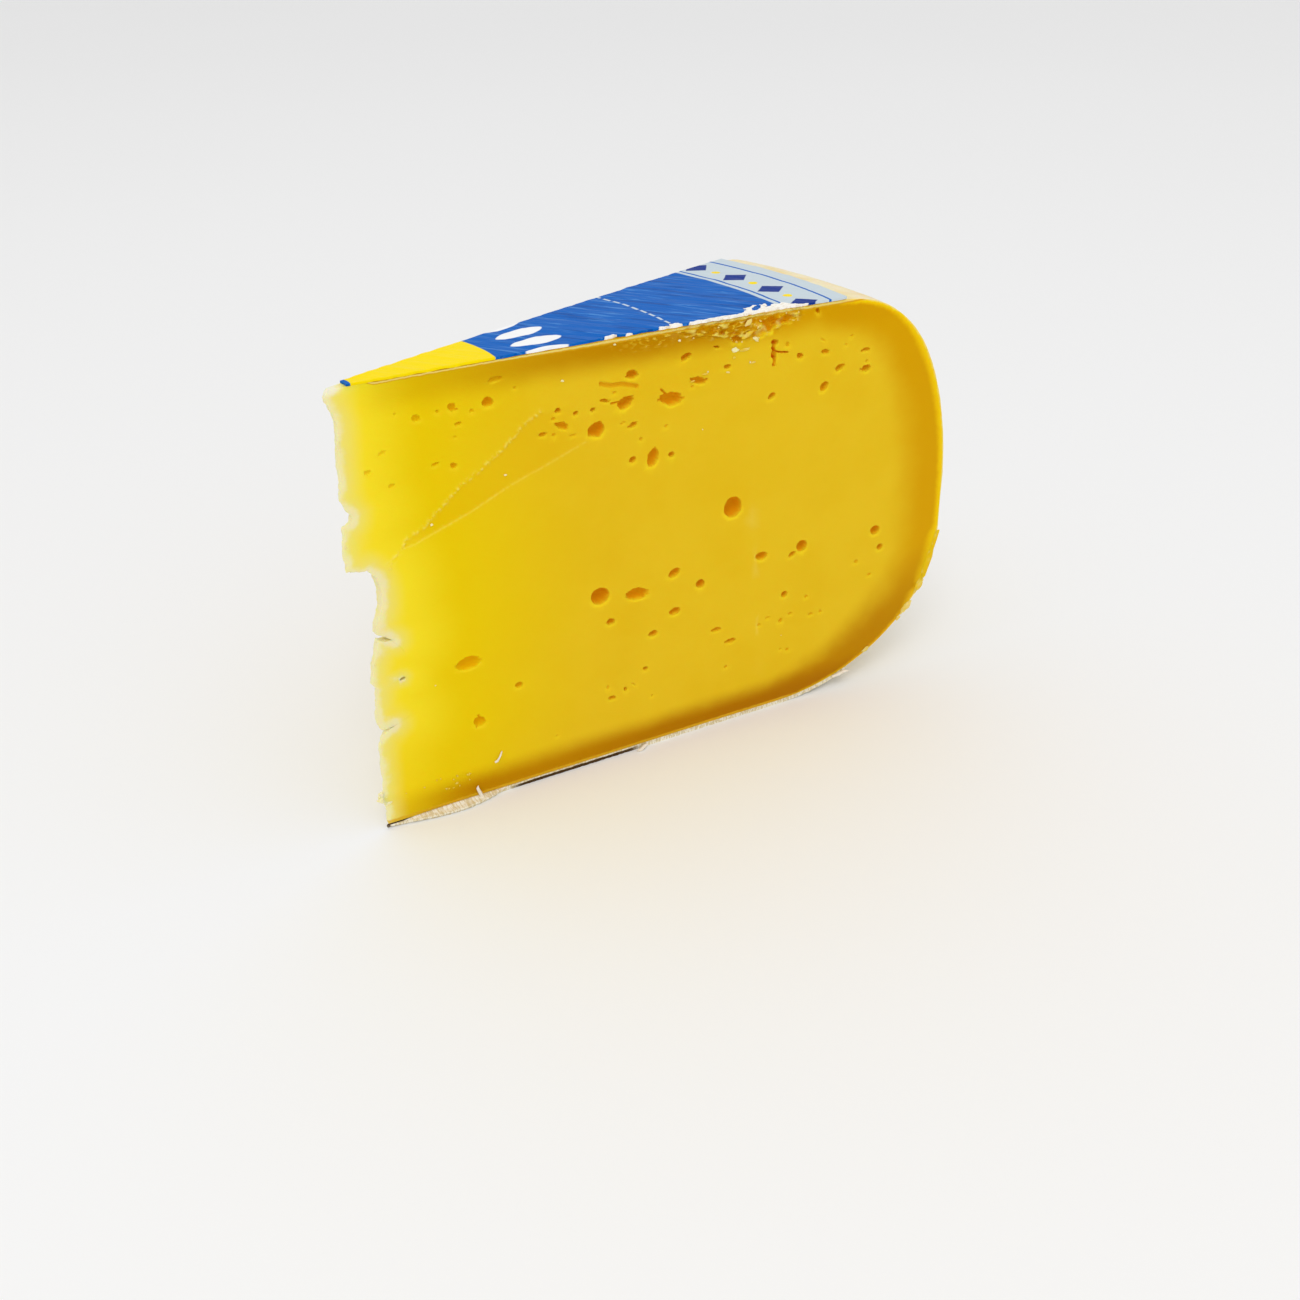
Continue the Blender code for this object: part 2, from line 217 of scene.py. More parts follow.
def wheel_profile():
    """The wheel's profile as (distance from the axis, height), in millimetres."""
    crown = [CROWN_RADIUS * step / CROWN_STEPS for step in range(CROWN_STEPS + 1)]
    profile = [(reach, crown_height(reach)) for reach in crown]
    power = 2.0 / SHOULDER_FULLNESS
    for step in range(1, SHOULDER_STEPS + 1):
        turn = 0.5 * math.pi * step / SHOULDER_STEPS
        reach = CROWN_RADIUS + (WHEEL_RADIUS - CROWN_RADIUS) * math.sin(turn) ** power
        rise = (WHEEL_HEIGHT - WIDEST_HEIGHT) * max(math.cos(turn), 0.0) ** power
        profile.append((reach, WIDEST_HEIGHT + rise))
    for step in range(FOOT_STEPS - 1, -1, -1):
        turn = 0.5 * math.pi * step / FOOT_STEPS
        reach = FOOT_RADIUS + (WHEEL_RADIUS - FOOT_RADIUS) * math.sin(turn)
        profile.append((reach, WIDEST_HEIGHT * (1.0 - math.cos(turn))))
    for step in range(1, UNDER_STEPS + 1):
        profile.append((FOOT_RADIUS * (1.0 - step / UNDER_STEPS), 0.0))
    return profile


PROFILE = wheel_profile()
AXIS_X = KNIFE_X + KNIFE_MISS
cheese = draw_line("cheese_body", [Vector((AXIS_X + r, 0.0, UNDER_Z + z)) * MM for r, z in PROFILE])
with editing(cheese):
    bpy.ops.mesh.spin(steps=TURN_STEPS, angle=2.0 * math.pi, center=(AXIS_X * MM, 0.0, 0.0),
                      axis=(0.0, 0.0, 1.0), use_auto_merge=True)
    bpy.ops.mesh.select_all(action="SELECT")
    bpy.ops.mesh.remove_doubles(threshold=0.01 * MM)
    face_outward()
print("the wheel has", len(cheese.data.polygons), "faces")

# %% [markdown]
# ## Two knife cuts
#
# The wedge lies between two upright planes. A prism with the wedge's plan keeps that part in one Boolean,
# and closes the corner where the planes meet cleanly, which bisecting twice doesn't.

# %% Keep the wedge between the knife planes
REACH = 1.2 * WHEEL_RADIUS

plan = [(Vector((KNIFE_X, 0.0, UNDER_Z - REACH)) + way) * MM
        for way in (Vector(), ALONG[-1] * REACH, ALONG[1] * REACH)]
knives = draw_line("knives", plan, closed=True)
with editing(knives):
    extrude((0.0, 0.0, 2.2 * REACH * MM))
    face_outward()
boolean(cheese, knives, "INTERSECT")
print("the wedge has", len(cheese.data.polygons), "faces")

# %% [markdown]
# ## Tearing the thin edge
#
# The thin edge broke when the wedge was pulled away, so it has notches, cracks and a small hole. The
# outline has a few dozen measured points, and a rule splits each stretch and pushes its middle aside by
# chance. The cutter's thin layers shift a little, so that the broken edge isn't a straight prism.

# %% The torn outline
TORN_EDGE = [
    (3.2, 117.0), (0.7, 114.3), (2.3, 109.0), (1.9, 104.0), (1.2, 95.0), (0.4, 91.0),
    (1.4, 88.0), (2.6, 86.3), (1.8, 84.4), (0.0, 84.1), (-0.6, 80.0), (-0.7, 73.0),
    (4.1, 72.2), (5.7, 70.0), (6.5, 66.0), (5.8, 61.0), (3.7, 55.2), (7.3, 52.5),
    (4.1, 53.3), (1.6, 47.3), (0.8, 42.0), (1.9, 40.4), (1.3, 37.4), (0.4, 33.0),
    (1.1, 28.4), (4.6, 28.9), (2.0, 27.3), (-0.1, 24.0), (-0.6, 15.0), (-1.0, 9.6),
    (-2.0, 8.3), (-1.0, 5.6), (-1.2, 2.4), (-0.9, -3.0),
]
TEAR_ROUNDS = 3
TEAR_SHARE = 0.07
TEAR_LAYERS = (-30.0, -2.2, -1.4, -0.7, 0.0, 0.7, 1.4, 2.2, 30.0)
TEAR_SHIFT = 0.16
TEAR_GRAIN = 0.9


def torn_outline():
    """The measured outline with finer breaks put in by chance."""
    draw = random.Random(11)
    outline = [Vector(point) for point in TORN_EDGE]
    for _ in range(TEAR_ROUNDS):
        finer = [outline[0]]
        for before, after in zip(outline, outline[1:]):
            run = after - before
            middle = (before + after) / 2
            if run.length > 0.9:
                aside = Vector((-run.y, run.x)) * draw.uniform(-TEAR_SHARE, TEAR_SHARE)
                finer.append(middle + aside)
            finer.append(after)
        outline = finer
    return outline


def chance_shift(spot):
    """Two chance numbers for a place in millimetres, one along and one up."""
    spot = spot * TEAR_GRAIN
    return noise.noise(spot), noise.noise(spot + Vector((7.0, 3.0, 1.0)))


def tear_place(point):
    """Where a point of the outline lies in the cutter's first layer, in metres."""
    aside, rise = chance_shift(Vector((point.x, point.y, TEAR_LAYERS[0])))
    across = (point.x + KNIFE_MISS) * math.cos(HALF_ANGLE) + KNIFE_X
    shift = Vector((aside, 0.0, rise)) * TEAR_SHIFT
    return (Vector((across, TEAR_LAYERS[0], UNDER_Z + point.y)) + shift) * MM


TORN = torn_outline()
TORN_ARRAY = np.array([tuple(point) for point in TORN])
waste = [Vector((-30.0, TORN[-1].y)), Vector((-30.0, TORN[0].y))]
tear = draw_line("tear", [tear_place(point) for point in TORN + waste], closed=True)
with editing(tear):
    for nearer, farther in zip(TEAR_LAYERS, TEAR_LAYERS[1:]):
        extrude((0.0, (farther - nearer) * MM, 0.0))
places = vertex_places(tear)
for place in places:
    if abs(place[1] / MM) < 3.0 and place[0] / MM > KNIFE_X - 20.0:
        aside, rise = chance_shift(Vector(place) / MM)
        place[0] += TEAR_SHIFT * MM * aside
        place[2] += TEAR_SHIFT * MM * rise
set_places(tear, places)
with editing(tear):
    face_outward()
boolean(cheese, tear, "DIFFERENCE")
print("the torn outline has", len(TORN), "points")

# %% The small hole through the thin edge
HOLE_PLACE = (7.9, 41.6)
HOLE_DEPTH = 1.8
HOLE_HALVES = (0.85, 6.0, 0.42)
HOLE_TURN = math.radians(-15.0)

hole = added(bpy.ops.mesh.primitive_uv_sphere_add, "hole", segments=20, ring_count=10, radius=MM,
             location=face_point(*HOLE_PLACE, -HOLE_DEPTH))
hole.scale = HOLE_HALVES
hole.rotation_euler = (0.0, HOLE_TURN, 0.0)
bpy.ops.object.transform_apply(location=True, rotation=True, scale=True)
boolean(cheese, hole, "DIFFERENCE")
print("the body has", len(cheese.data.polygons), "faces after the tear")

# %% [markdown]
# ## Softening the cut edges
#
# Cheese is soft, so a bevel of a third of a millimetre along both cut faces catches the light as the real
# edge does. The torn edge is left out, because its short stretches would make a bevel fold over itself.

# %% Bevel the edges of the cut faces
BEVEL_WIDTH = 0.3
BEVEL_START = 9.0
FLAT = 0.9999


def numbered(piece, test):
    """The numbers and middles of the faces that pass a test, while the piece is in edit mode."""
    opened = bmesh.from_edit_mesh(piece.data)
    opened.faces.index_update()
    found = [face for face in opened.faces if test(face)]
    return [face.index for face in found], np.array([face.calc_center_median() for face in found])


def pick(piece, numbers):
    """Select the faces of these numbers and nothing else."""
    bpy.ops.mesh.select_all(action="DESELECT")
    opened = bmesh.from_edit_mesh(piece.data)
    opened.faces.ensure_lookup_table()
    for number in numbers:
        opened.faces[number].select_set(True)
    bmesh.update_edit_mesh(piece.data)


def pick_where(piece, test):
    """Select the faces that pass a test and nothing else."""
    pick(piece, numbered(piece, test)[0])


def in_cut(side):
    """A test for faces that lie in one knife plane."""
    plane = face_point(0.0, 0.0, 0.0, side)

    def test(face):
        flat = face.normal.dot(OUTWARD[side]) > FLAT
        return flat and abs((face.verts[0].co - plane).dot(OUTWARD[side])) < 0.002 * MM

    return test


def pick_cut_edges(piece):
    """Select the edges where a cut face meets the top, the rind or the underside."""
    bpy.ops.mesh.select_mode(type="EDGE")
    bpy.ops.mesh.select_all(action="DESELECT")
    opened = bmesh.from_edit_mesh(piece.data)
    start = (AXIS_X + BEVEL_START) * MM
    for side in (-1, 1):
        test = in_cut(side)
        for edge in opened.edges:
            if min(vert.co.x for vert in edge.verts) > start:
                if sum(test(face) for face in edge.link_faces) == 1:
                    edge.select_set(True)
    bmesh.update_edit_mesh(piece.data)


with editing(cheese):
    bpy.ops.mesh.remove_doubles(threshold=0.02 * MM)
    pick_cut_edges(cheese)
    bpy.ops.mesh.bevel(offset=BEVEL_WIDTH * MM, segments=2, affect="EDGES", clamp_overlap=False)
print("with soft edges the body has", len(cheese.data.polygons), "faces")

# %% [markdown]
# ## What marks the cut faces
#
# Gas eyes are the holes that ferment open in the paste: smooth and round low down, flat and ragged under
# the top. Each is given by its distance from the wheel's axis, its height, its width, its opening and its
# tilt in degrees. The knife left two lines from the thin edge up, and crumbled the paste under the print.

# %% Eyes, cracks and knife lines
FRONT_EYES = [
    (25.0, 40.8, 6.5, 3.6, 5), (26.1, 22.9, 2.9, 3.5, 70), (37.6, 30.3, 2.2, 1.8, 5),
    (36.6, 106.5, 2.6, 2.5, 30), (19.8, 106.0, 2.2, 1.6, -30), (28.2, 106.9, 1.8, 2.2, 0),
    (29.2, 102.8, 1.9, 0.9, 5), (11.2, 99.6, 2.2, 1.0, 28), (12.3, 91.5, 1.7, 1.1, 15),
    (22.9, 94.4, 2.1, 0.9, 18), (27.1, 93.2, 1.6, 1.6, 0), (53.4, 101.1, 1.5, 1.5, 0),
    (54.2, 97.2, 3.9, 1.6, -24), (49.2, 96.0, 2.3, 1.0, 0), (57.8, 99.6, 1.4, 1.1, 10),
    (62.2, 99.6, 1.4, 1.0, 10), (62.8, 94.5, 4.7, 3.6, 35), (70.6, 99.7, 4.2, 3.0, 20),
    (72.6, 106.3, 3.0, 2.3, -10), (65.3, 101.2, 2.3, 1.0, -20), (72.5, 93.8, 2.3, 1.3, 18),
    (82.9, 98.3, 6.4, 3.2, -8), (72.0, 84.9, 2.1, 1.6, 25), (77.5, 84.3, 4.9, 3.0, 70),
    (82.6, 84.0, 1.8, 1.5, 0), (87.0, 108.0, 2.8, 1.7, 20), (90.4, 101.5, 4.3, 1.7, -14),
    (98.4, 103.5, 2.2, 1.2, 5), (61.4, 49.8, 5.0, 5.0, 0), (71.8, 47.6, 6.4, 3.3, -8),
    (82.8, 50.8, 3.6, 2.5, 25), (64.0, 41.5, 2.5, 1.9, 0), (82.7, 39.3, 3.4, 2.2, 8),
    (76.1, 34.4, 2.7, 1.9, 12), (73.5, 24.2, 1.6, 1.3, -20), (63.3, 18.1, 2.4, 1.3, -5),
    (67.3, 19.6, 1.5, 1.0, -70), (111.7, 107.3, 2.2, 1.5, 0), (119.2, 102.6, 2.1, 1.5, -10),
    (126.7, 102.3, 2.8, 1.2, -10), (111.2, 93.6, 2.3, 1.6, 20), (131.3, 97.4, 2.9, 1.6, 15),
    (126.8, 93.2, 3.2, 2.0, 50), (100.2, 65.5, 6.0, 5.2, 80), (90.5, 45.5, 2.7, 2.6, 0),
    (109.1, 49.0, 3.9, 2.4, -5), (121.9, 48.8, 3.5, 3.4, 0), (118.9, 47.0, 2.5, 1.5, 20),
    (95.2, 29.9, 3.3, 1.3, 0), (99.8, 25.1, 3.2, 1.5, 0), (116.8, 35.1, 2.1, 2.0, 0),
    (139.1, 100.6, 3.2, 1.0, 0), (139.6, 95.7, 2.7, 1.9, 15), (146.1, 47.6, 3.1, 2.9, -30),
    (148.2, 41.8, 2.1, 2.0, 0), (111.6, 104.1, 1.5, 2.8, 4),
]
FAINT_EYES = [
    (24.8, 106.6, 0.9, 0.9, 0), (32.7, 105.2, 1.2, 0.9, 0), (28.2, 99.9, 1.0, 0.6, 0),
    (7.4, 95.8, 1.8, 1.2, 0), (38.9, 111.4, 3.5, 1.2, 8), (15.3, 107.8, 0.8, 0.6, 0),
    (43.3, 108.6, 0.8, 0.7, 0), (52.2, 99.3, 1.2, 0.9, 0), (52.0, 95.4, 1.0, 0.9, 0),
    (56.8, 94.3, 1.7, 0.7, 0), (67.9, 102.7, 1.2, 0.8, 0), (69.9, 94.8, 1.6, 0.7, 10),
    (74.4, 89.8, 1.1, 0.9, 0), (81.3, 91.7, 1.0, 0.9, 0), (88.6, 100.3, 0.9, 0.8, 0),
    (115.4, 106.2, 1.2, 1.4, 0), (125.7, 105.6, 2.0, 0.6, -35), (132.9, 103.1, 0.9, 0.6, 0),
    (134.6, 105.1, 0.8, 0.7, 0), (139.7, 97.6, 1.1, 0.9, 0), (62.2, 21.8, 0.9, 1.3, 0),
    (69.8, 20.4, 1.8, 0.6, -50), (75.2, 15.0, 0.8, 0.7, 0), (46.8, 11.3, 0.8, 0.6, 0),
    (108.8, 27.5, 1.4, 0.9, 0), (111.6, 29.0, 1.6, 0.9, 0), (118.9, 28.3, 1.4, 1.0, 0),
    (115.8, 27.0, 1.6, 1.4, 0), (124.0, 32.4, 1.3, 1.0, 0), (125.7, 26.3, 1.4, 1.0, 0),
    (129.0, 26.2, 1.2, 1.1, 0), (98.2, 17.1, 1.2, 1.0, 0), (118.3, 16.8, 1.2, 1.0, 0),
    (116.0, 17.6, 0.8, 0.8, 0), (140.3, 39.1, 1.6, 1.2, 0), (145.1, 33.8, 1.6, 1.0, 0),
]
CRACKS = [
    ([(64.6, 105.4), (67.0, 104.6), (70.0, 104.4), (73.8, 103.2)], 1.2, 0.0),
    ([(67.0, 100.1), (68.6, 100.2), (70.4, 99.8)], 0.5, 0.2),
    ([(82.0, 99.2), (80.2, 101.1)], 0.5, 0.2),
    ([(111.9, 107.0), (111.3, 106.0), (111.6, 105.2), (111.2, 104.0), (111.9, 103.2), (111.7, 101.6)],
     1.0, 0.9),
    ([(111.5, 105.1), (113.2, 104.5), (115.6, 104.1)], 0.45, 0.8),
    ([(28.0, 107.6), (28.1, 106.4), (29.4, 106.2)], 0.45, 0.0),
    ([(88.4, 102.2), (89.6, 101.2), (91.2, 100.8), (92.6, 101.4)], 0.6, 0.2),
    ([(26.0, 24.8), (26.3, 23.0), (25.2, 21.4)], 0.55, 0.1),
    ([(26.3, 23.2), (27.6, 22.4)], 0.5, 0.1),
    ([(7.2, 52.4), (8.7, 50.6), (9.6, 48.8)], 0.25, -0.6),
    ([(4.6, 28.9), (8.0, 30.2), (10.2, 30.9)], 0.22, -0.6),
]
ROUGH_LINE = [(9.0, 71.5), (12.2, 75.2), (14.0, 77.8), (18.3, 79.7), (21.0, 82.0), (25.3, 85.5),
              (28.5, 88.0), (33.5, 90.8), (39.0, 94.5), (42.5, 97.3), (45.5, 100.0), (49.0, 101.5)]
FADING_LINE = [(49.0, 101.5), (57.0, 107.0), (70.0, 110.0)]
SMOOTH_LINE = [(8.5, 72.8), (12.5, 75.4), (16.0, 76.1), (20.0, 77.5), (30.0, 80.9), (40.0, 85.2),
               (48.0, 87.8), (56.0, 90.6), (60.0, 92.0)]
UPRIGHT_LINE = [(105.0, 74.0), (105.5, 65.0), (107.0, 53.0), (108.0, 33.0), (108.5, 11.0)]
PATCH_CAVITIES = [
    (110.4, 112.0, 5.2, 3.4, 12), (107.6, 110.3, 5.0, 1.7, 12), (114.6, 112.4, 5.4, 2.1, 8),
    (101.0, 109.8, 2.8, 1.9, -10), (97.2, 111.9, 1.5, 1.1, 0), (95.4, 108.9, 1.9, 0.6, -15),
    (123.9, 113.2, 1.4, 1.1, -35),
]
print(len(FRONT_EYES), "eyes,", len(FAINT_EYES), "faint eyes and", len(CRACKS), "cracks on the front face")

# %% The back face gets its own eyes by chance
BACK_EYE_COUNT = 44
LOWEST_EYE = 14.0
HIGHEST_EYE = 109.0


def chance_eyes():
    """Eyes in two loose bands, as the front face has them."""
    draw = random.Random(7)
    eyes = []
    while len(eyes) < BACK_EYE_COUNT:
        distance = draw.uniform(12.0, 148.0)
        height = draw.choice((draw.gauss(99.0, 6.0), draw.gauss(40.0, 13.0)))
        width = 1.2 + 4.2 * draw.random() ** 2.5
        apart = all(math.hypot(distance - eye[0], height - eye[1]) > 5.0 for eye in eyes)
        if LOWEST_EYE < height < HIGHEST_EYE and apart:
            eyes.append((distance, height, width, width * draw.uniform(0.55, 1.0), draw.uniform(-40, 40)))
    return eyes


BACK_EYES = chance_eyes()
print(len(BACK_EYES), "eyes on the back face")

# %% [markdown]
# ## A mesh that is fine only where it must be
#
# Relief needs small faces round each eye, along the knife lines and at the edges, and large ones
# elsewhere. A remesh would be fine all over, so each cut face is bisected into a grid, and the squares
# near a feature are subdivided again and again, in rings that shrink each time.

# %% Distances on a cut face
FRONT_ROUNDS = 4
BACK_ROUNDS = 3
RIND_ROUNDS = 2
GRID = 3.0
FAR = 1e9
EYE_MARGINS = (2.9, 1.3, 0.5, 0.24)
EDGE_MARGINS = (2.6, 1.0, 0.0, 0.0)
TORN_MARGINS = (2.6, 1.6, 0.9, 0.0)
OUTER_LINE = [point for point in PROFILE if point[0] > 0.0]


def side_coordinates(places, side):
    """Distance from the axis, height, and distance out of a cut face, in millimetres."""
    from_line = places / MM - np.array((KNIFE_X, 0.0, UNDER_Z))
    across = from_line @ np.array(ALONG[side]) - KNIFE_MISS
    return across, from_line[:, 2], from_line @ np.array(OUTWARD[side])


def to_line(across, up, line):
    """The distance from each place to a line of points."""
    best = np.full(len(across), FAR)
    points = np.array([tuple(point) for point in line])
    for start, end in zip(points, points[1:]):
        run = end - start
        length = max(float(run @ run), 1e-9)
        part = np.clip(((across - start[0]) * run[0] + (up - start[1]) * run[1]) / length, 0.0, 1.0)
        gap = np.hypot(across - start[0] - part * run[0], up - start[1] - part * run[1])
        best = np.minimum(best, gap)
    return best


def to_eyes(across, up, eyes):
    """The distance from each place to the nearest eye's rim, below zero inside."""
    best = np.full(len(across), FAR)
    for distance, height, width, tall, _ in eyes:
        gap = np.hypot(across - distance, up - height) - 0.25 * (width + tall)
        best = np.minimum(best, gap)
    return best


def to_marks(across, up):
    """The distance to the cracks, the knife lines and the crumbled patch of the front face."""
    best = to_eyes(across, up, PATCH_CAVITIES)
    for line, width, _ in CRACKS:
        best = np.minimum(best, to_line(across, up, line) - 0.5 * width)
    best = np.minimum(best, to_line(across, up, ROUGH_LINE) - 0.4)
    best = np.minimum(best, to_line(across, up, SMOOTH_LINE))
    patch = np.maximum(np.abs(across - 103.0) - 15.5, 107.6 - up)
    return np.minimum(best, np.maximum(patch, 0.0))


def wanted(across, up, side, round_number):
    """Which places of a cut face need a finer mesh in this round."""
    eyes = FRONT_EYES + FAINT_EYES if side == -1 else BACK_EYES
    gap = to_eyes(across, up, eyes)
    if round_number == FRONT_ROUNDS - 1:
        gap = np.abs(gap)
    if side == -1:
        gap = np.minimum(gap, to_marks(across, up))
    edge = to_line(across, up, OUTER_LINE) < EDGE_MARGINS[round_number]
    torn = to_line(across, up, TORN_ARRAY) < TORN_MARGINS[round_number]
    return (gap < EYE_MARGINS[round_number]) | edge | torn

# %% Subdivide the coated end
def split_many_sided(piece, test):
    """Split faces of more than four sides into triangles, because they can't be subdivided."""
    many, _ = numbered(piece, lambda face: len(face.verts) > 4 and test(face))
    if many:
        pick(piece, many)
        bpy.ops.mesh.quads_convert_to_tris(quad_method="BEAUTY", ngon_method="BEAUTY")


def in_rind(face):
    """A test for faces of the coated end, outside the knife planes."""
    flat = any(abs(face.normal.dot(OUTWARD[side])) > FLAT for side in (-1, 1))
    return not flat and face.calc_center_median().x / MM - AXIS_X > FOOT_RADIUS - 6.0


with editing(cheese, "FACE"):
    for _ in range(RIND_ROUNDS):
        split_many_sided(cheese, in_rind)
        pick_where(cheese, in_rind)
        bpy.ops.mesh.subdivide(number_cuts=1)
print("with a fine coated end the body has", len(cheese.data.polygons), "faces")


# %% Bisect the cut faces into a grid and subdivide round each feature
def refine(piece, side, round_number):
    """Subdivide the faces of a cut face that need it in this round."""
    split_many_sided(piece, in_cut(side))
    numbers, middles = numbered(piece, in_cut(side))
    across, up, _ = side_coordinates(middles, side)
    pick(piece, np.array(numbers)[wanted(across, up, side, round_number)])
    bpy.ops.mesh.subdivide(number_cuts=1)


with editing(cheese, "FACE"):
    for side in (-1, 1):
        cuts = [(GRID * step - 2.0, 0.0, ALONG[side]) for step in range(int(WHEEL_RADIUS / GRID) + 2)]
        cuts += [(0.0, GRID * step, (0.0, 0.0, 1.0)) for step in range(1, int(WHEEL_HEIGHT / GRID) + 1)]
        for distance, height, normal in cuts:
            pick_where(cheese, in_cut(side))
            bpy.ops.mesh.bisect(plane_co=face_point(distance, height, 0.0, side), plane_no=normal)
with editing(cheese, "FACE"):
    for side, rounds in ((-1, FRONT_ROUNDS), (1, BACK_ROUNDS)):
        for round_number in range(rounds):
            refine(cheese, side, round_number)
    split_many_sided(cheese, lambda face: True)
print("the fine body has", len(cheese.data.polygons), "faces and", len(cheese.data.vertices), "vertices")

# %% [markdown]
# ## Giving the end its true roundness
#
# Subdividing a flat facet leaves it flat, and a waxed surface shows every facet. So the points of the
# curved end are pushed out onto the exact profile, and then a little in and out again, because a coat
# brushed on by hand and knocked about is never even.

# %% Round and dent the coated end
DENT_DEPTH = 0.30
BRUSH_DEPTH = 0.07
AXIS_FOOT = np.array((AXIS_X, 0.0, UNDER_Z))


def profile_scale(reach, height):
    """How far out a place lies, as a share of the way to the shoulder's or the foot's oval."""
    aside = np.abs(reach - CROWN_RADIUS) / (WHEEL_RADIUS - CROWN_RADIUS)
    above = np.abs(height - WIDEST_HEIGHT) / (WHEEL_HEIGHT - WIDEST_HEIGHT)
    upper = (aside ** SHOULDER_FULLNESS + above ** SHOULDER_FULLNESS) ** (1.0 / SHOULDER_FULLNESS)
    lower = np.hypot((reach - FOOT_RADIUS) / (WHEEL_RADIUS - FOOT_RADIUS),
                     (height - WIDEST_HEIGHT) / WIDEST_HEIGHT)
    return np.where(height > WIDEST_HEIGHT, upper, lower)


places = vertex_places(cheese)
centred = places / MM - AXIS_FOOT
reach = np.hypot(centred[:, 0], centred[:, 1])
middle_reach = np.where(centred[:, 2] > WIDEST_HEIGHT, CROWN_RADIUS, FOOT_RADIUS)
share_out = profile_scale(reach, centred[:, 2])
coated = (np.abs(share_out - 1.0) < 0.01) & (reach > middle_reach + 0.5)
numbers = np.nonzero(coated)[0]
true_reach = middle_reach + (reach - middle_reach) / np.maximum(share_out, 1e-6)
true_height = WIDEST_HEIGHT + (centred[:, 2] - WIDEST_HEIGHT) / np.maximum(share_out, 1e-6)
away_from_knife = np.minimum(-side_coordinates(places, -1)[2], -side_coordinates(places, 1)[2])
hold = smooth(away_from_knife, 0.35, 1.2)
dents = DENT_DEPTH * roughness_at(places[numbers] / MM, 19.0, 2)
dents += BRUSH_DEPTH * roughness_at(places[numbers] / MM, 3.2, 3, 40.0)
new_reach = reach.copy()
new_reach[numbers] += hold[numbers] * (true_reach - reach)[numbers] + dents
centred[:, :2] *= (new_reach / np.maximum(reach, 1e-6))[:, None]
centred[numbers, 2] += hold[numbers] * (true_height - centred[:, 2])[numbers]
places = (centred + AXIS_FOOT) * MM
print(len(numbers), "points of the coated end rounded and dented")

# %% [markdown]
# ## Relief of the cut faces
#
# The relief is a depth for each point. An eye is a bowl with a wobbling outline: smooth for a gas eye,
# uneven for a slit. Points that nearly lie on its rim are moved onto it, so the rim is a clean line.
# Cracks are grooves, and the knife lines are a smeared ridge and a fine step. Each shape also says how
# strongly the material should tint a point: painted shade in eyes, cracks and crevices, and a painted
# highlight on the lip under each eye.

# %% One eye
EYE_SURROUND = 2.5


def at_least(face, near, **fields):
    """Raise fields of a face to these values where they are lower."""
    for name, values in fields.items():
        face[name][near] = np.maximum(face[name][near], values)


def eye_share(across, up, eye, seed, ragged):
    """How far each place is from an eye's middle, as a share of the way to its rim."""
    distance, height, width, tall, tilt = eye
    turn = math.radians(tilt)
    aside = ((across - distance) * math.cos(turn) + (up - height) * math.sin(turn)) / (0.5 * width)
    over = ((up - height) * math.cos(turn) - (across - distance) * math.sin(turn)) / (0.5 * tall)
    angle = np.arctan2(over, aside)
    draw = random.Random(seed)
    rim = np.ones(len(across))
    for waves in (2, 3, 5, 8):
        swing = ragged * draw.uniform(0.4, 1.0) / math.sqrt(waves)
        rim += swing * np.sin(waves * angle + draw.uniform(0.0, 6.3))
    return np.hypot(aside, over) / rim


def carve_eye(face, eye, depth, seed, ragged):
    """Press one eye into a face's relief and tint it: painted shade in the bowl, a painted highlight on the
    lip below.
    """
    distance, height, width, tall, _ = eye
    size = 0.25 * (width + tall)
    away = np.hypot(face["across"] - distance, face["up"] - height)
    near = np.nonzero(away < 0.5 * max(width, tall) + EYE_SURROUND)[0]
    across = face["across"][near]
    up = face["up"][near]
    share = eye_share(across, up, eye, seed, ragged)
    on_rim = np.abs(share - 1.0) * size < 0.10
    pull = np.where(on_rim, 1.0 / np.maximum(share, 0.2) - 1.0, 0.0)
    face["aside"][near] += pull * (across - distance)
    face["rise"][near] += pull * (up - height)
    share = np.where(on_rim, 1.0, share)
    bowl = depth * np.sqrt(np.clip(1.0 - share ** 2.4, 0.0, 1.0))
    gap = (share - 1.0) * size
    below = np.clip((height - up) / np.maximum(np.hypot(across - distance, up - height), 0.01), 0.0, 1.0)
    # The lip is a painted highlight: a pale crescent under the eye, where the lower rim would catch light
    # from above.
    lip = np.exp(-((gap - 0.4) / 0.45) ** 2) * below * min(1.0, 0.35 + 0.3 * size) * (share >= 1.0)
    at_least(face, near, depth=bowl, pit=np.clip(bowl / 1.5, 0.0, 1.0), lip=lip)


# %% Cracks and knife lines
EVERYWHERE = slice(None)


def streak(across, up, line, width):
    """One on a line, fading out softly over a width."""
    return np.exp(-(to_line(across, up, line) / width) ** 2)


def carve_crack(face, line, width, redness):
    """Press a narrow groove along a line; redness deepens it and paints dark red shade into it."""
    gap = to_line(face["across"], face["up"], line)
    groove = np.sqrt(np.clip(1.0 - (gap / (0.5 * width)) ** 2, 0.0, 1.0))
    at_least(face, EVERYWHERE, depth=min(1.3 * width, 0.7 + redness) * groove,
             pit=min(1.3 * width, 0.6 + redness) * groove, cleft=redness * groove)


def line_height(line, across):
    """The height of a knife line above each place, continued flat beyond its ends."""
    return np.interp(across, *zip(*line))


def spots_of(first, second=0.0, third=0.0):
    """Rows of three numbers for the noise, from columns and single numbers."""
    return np.stack(np.broadcast_arrays(first, second, third), 1)


def part_of(face, *limits):
    """The points of a face within (least across, most across, least up, most up), and their places."""
    across, up = face["across"], face["up"]
    inside = (across > limits[0]) & (across < limits[1]) & (up > limits[2]) & (up < limits[3])
    near = np.nonzero(inside)[0]
    return near, across[near], up[near], spots_of(across[near], up[near])


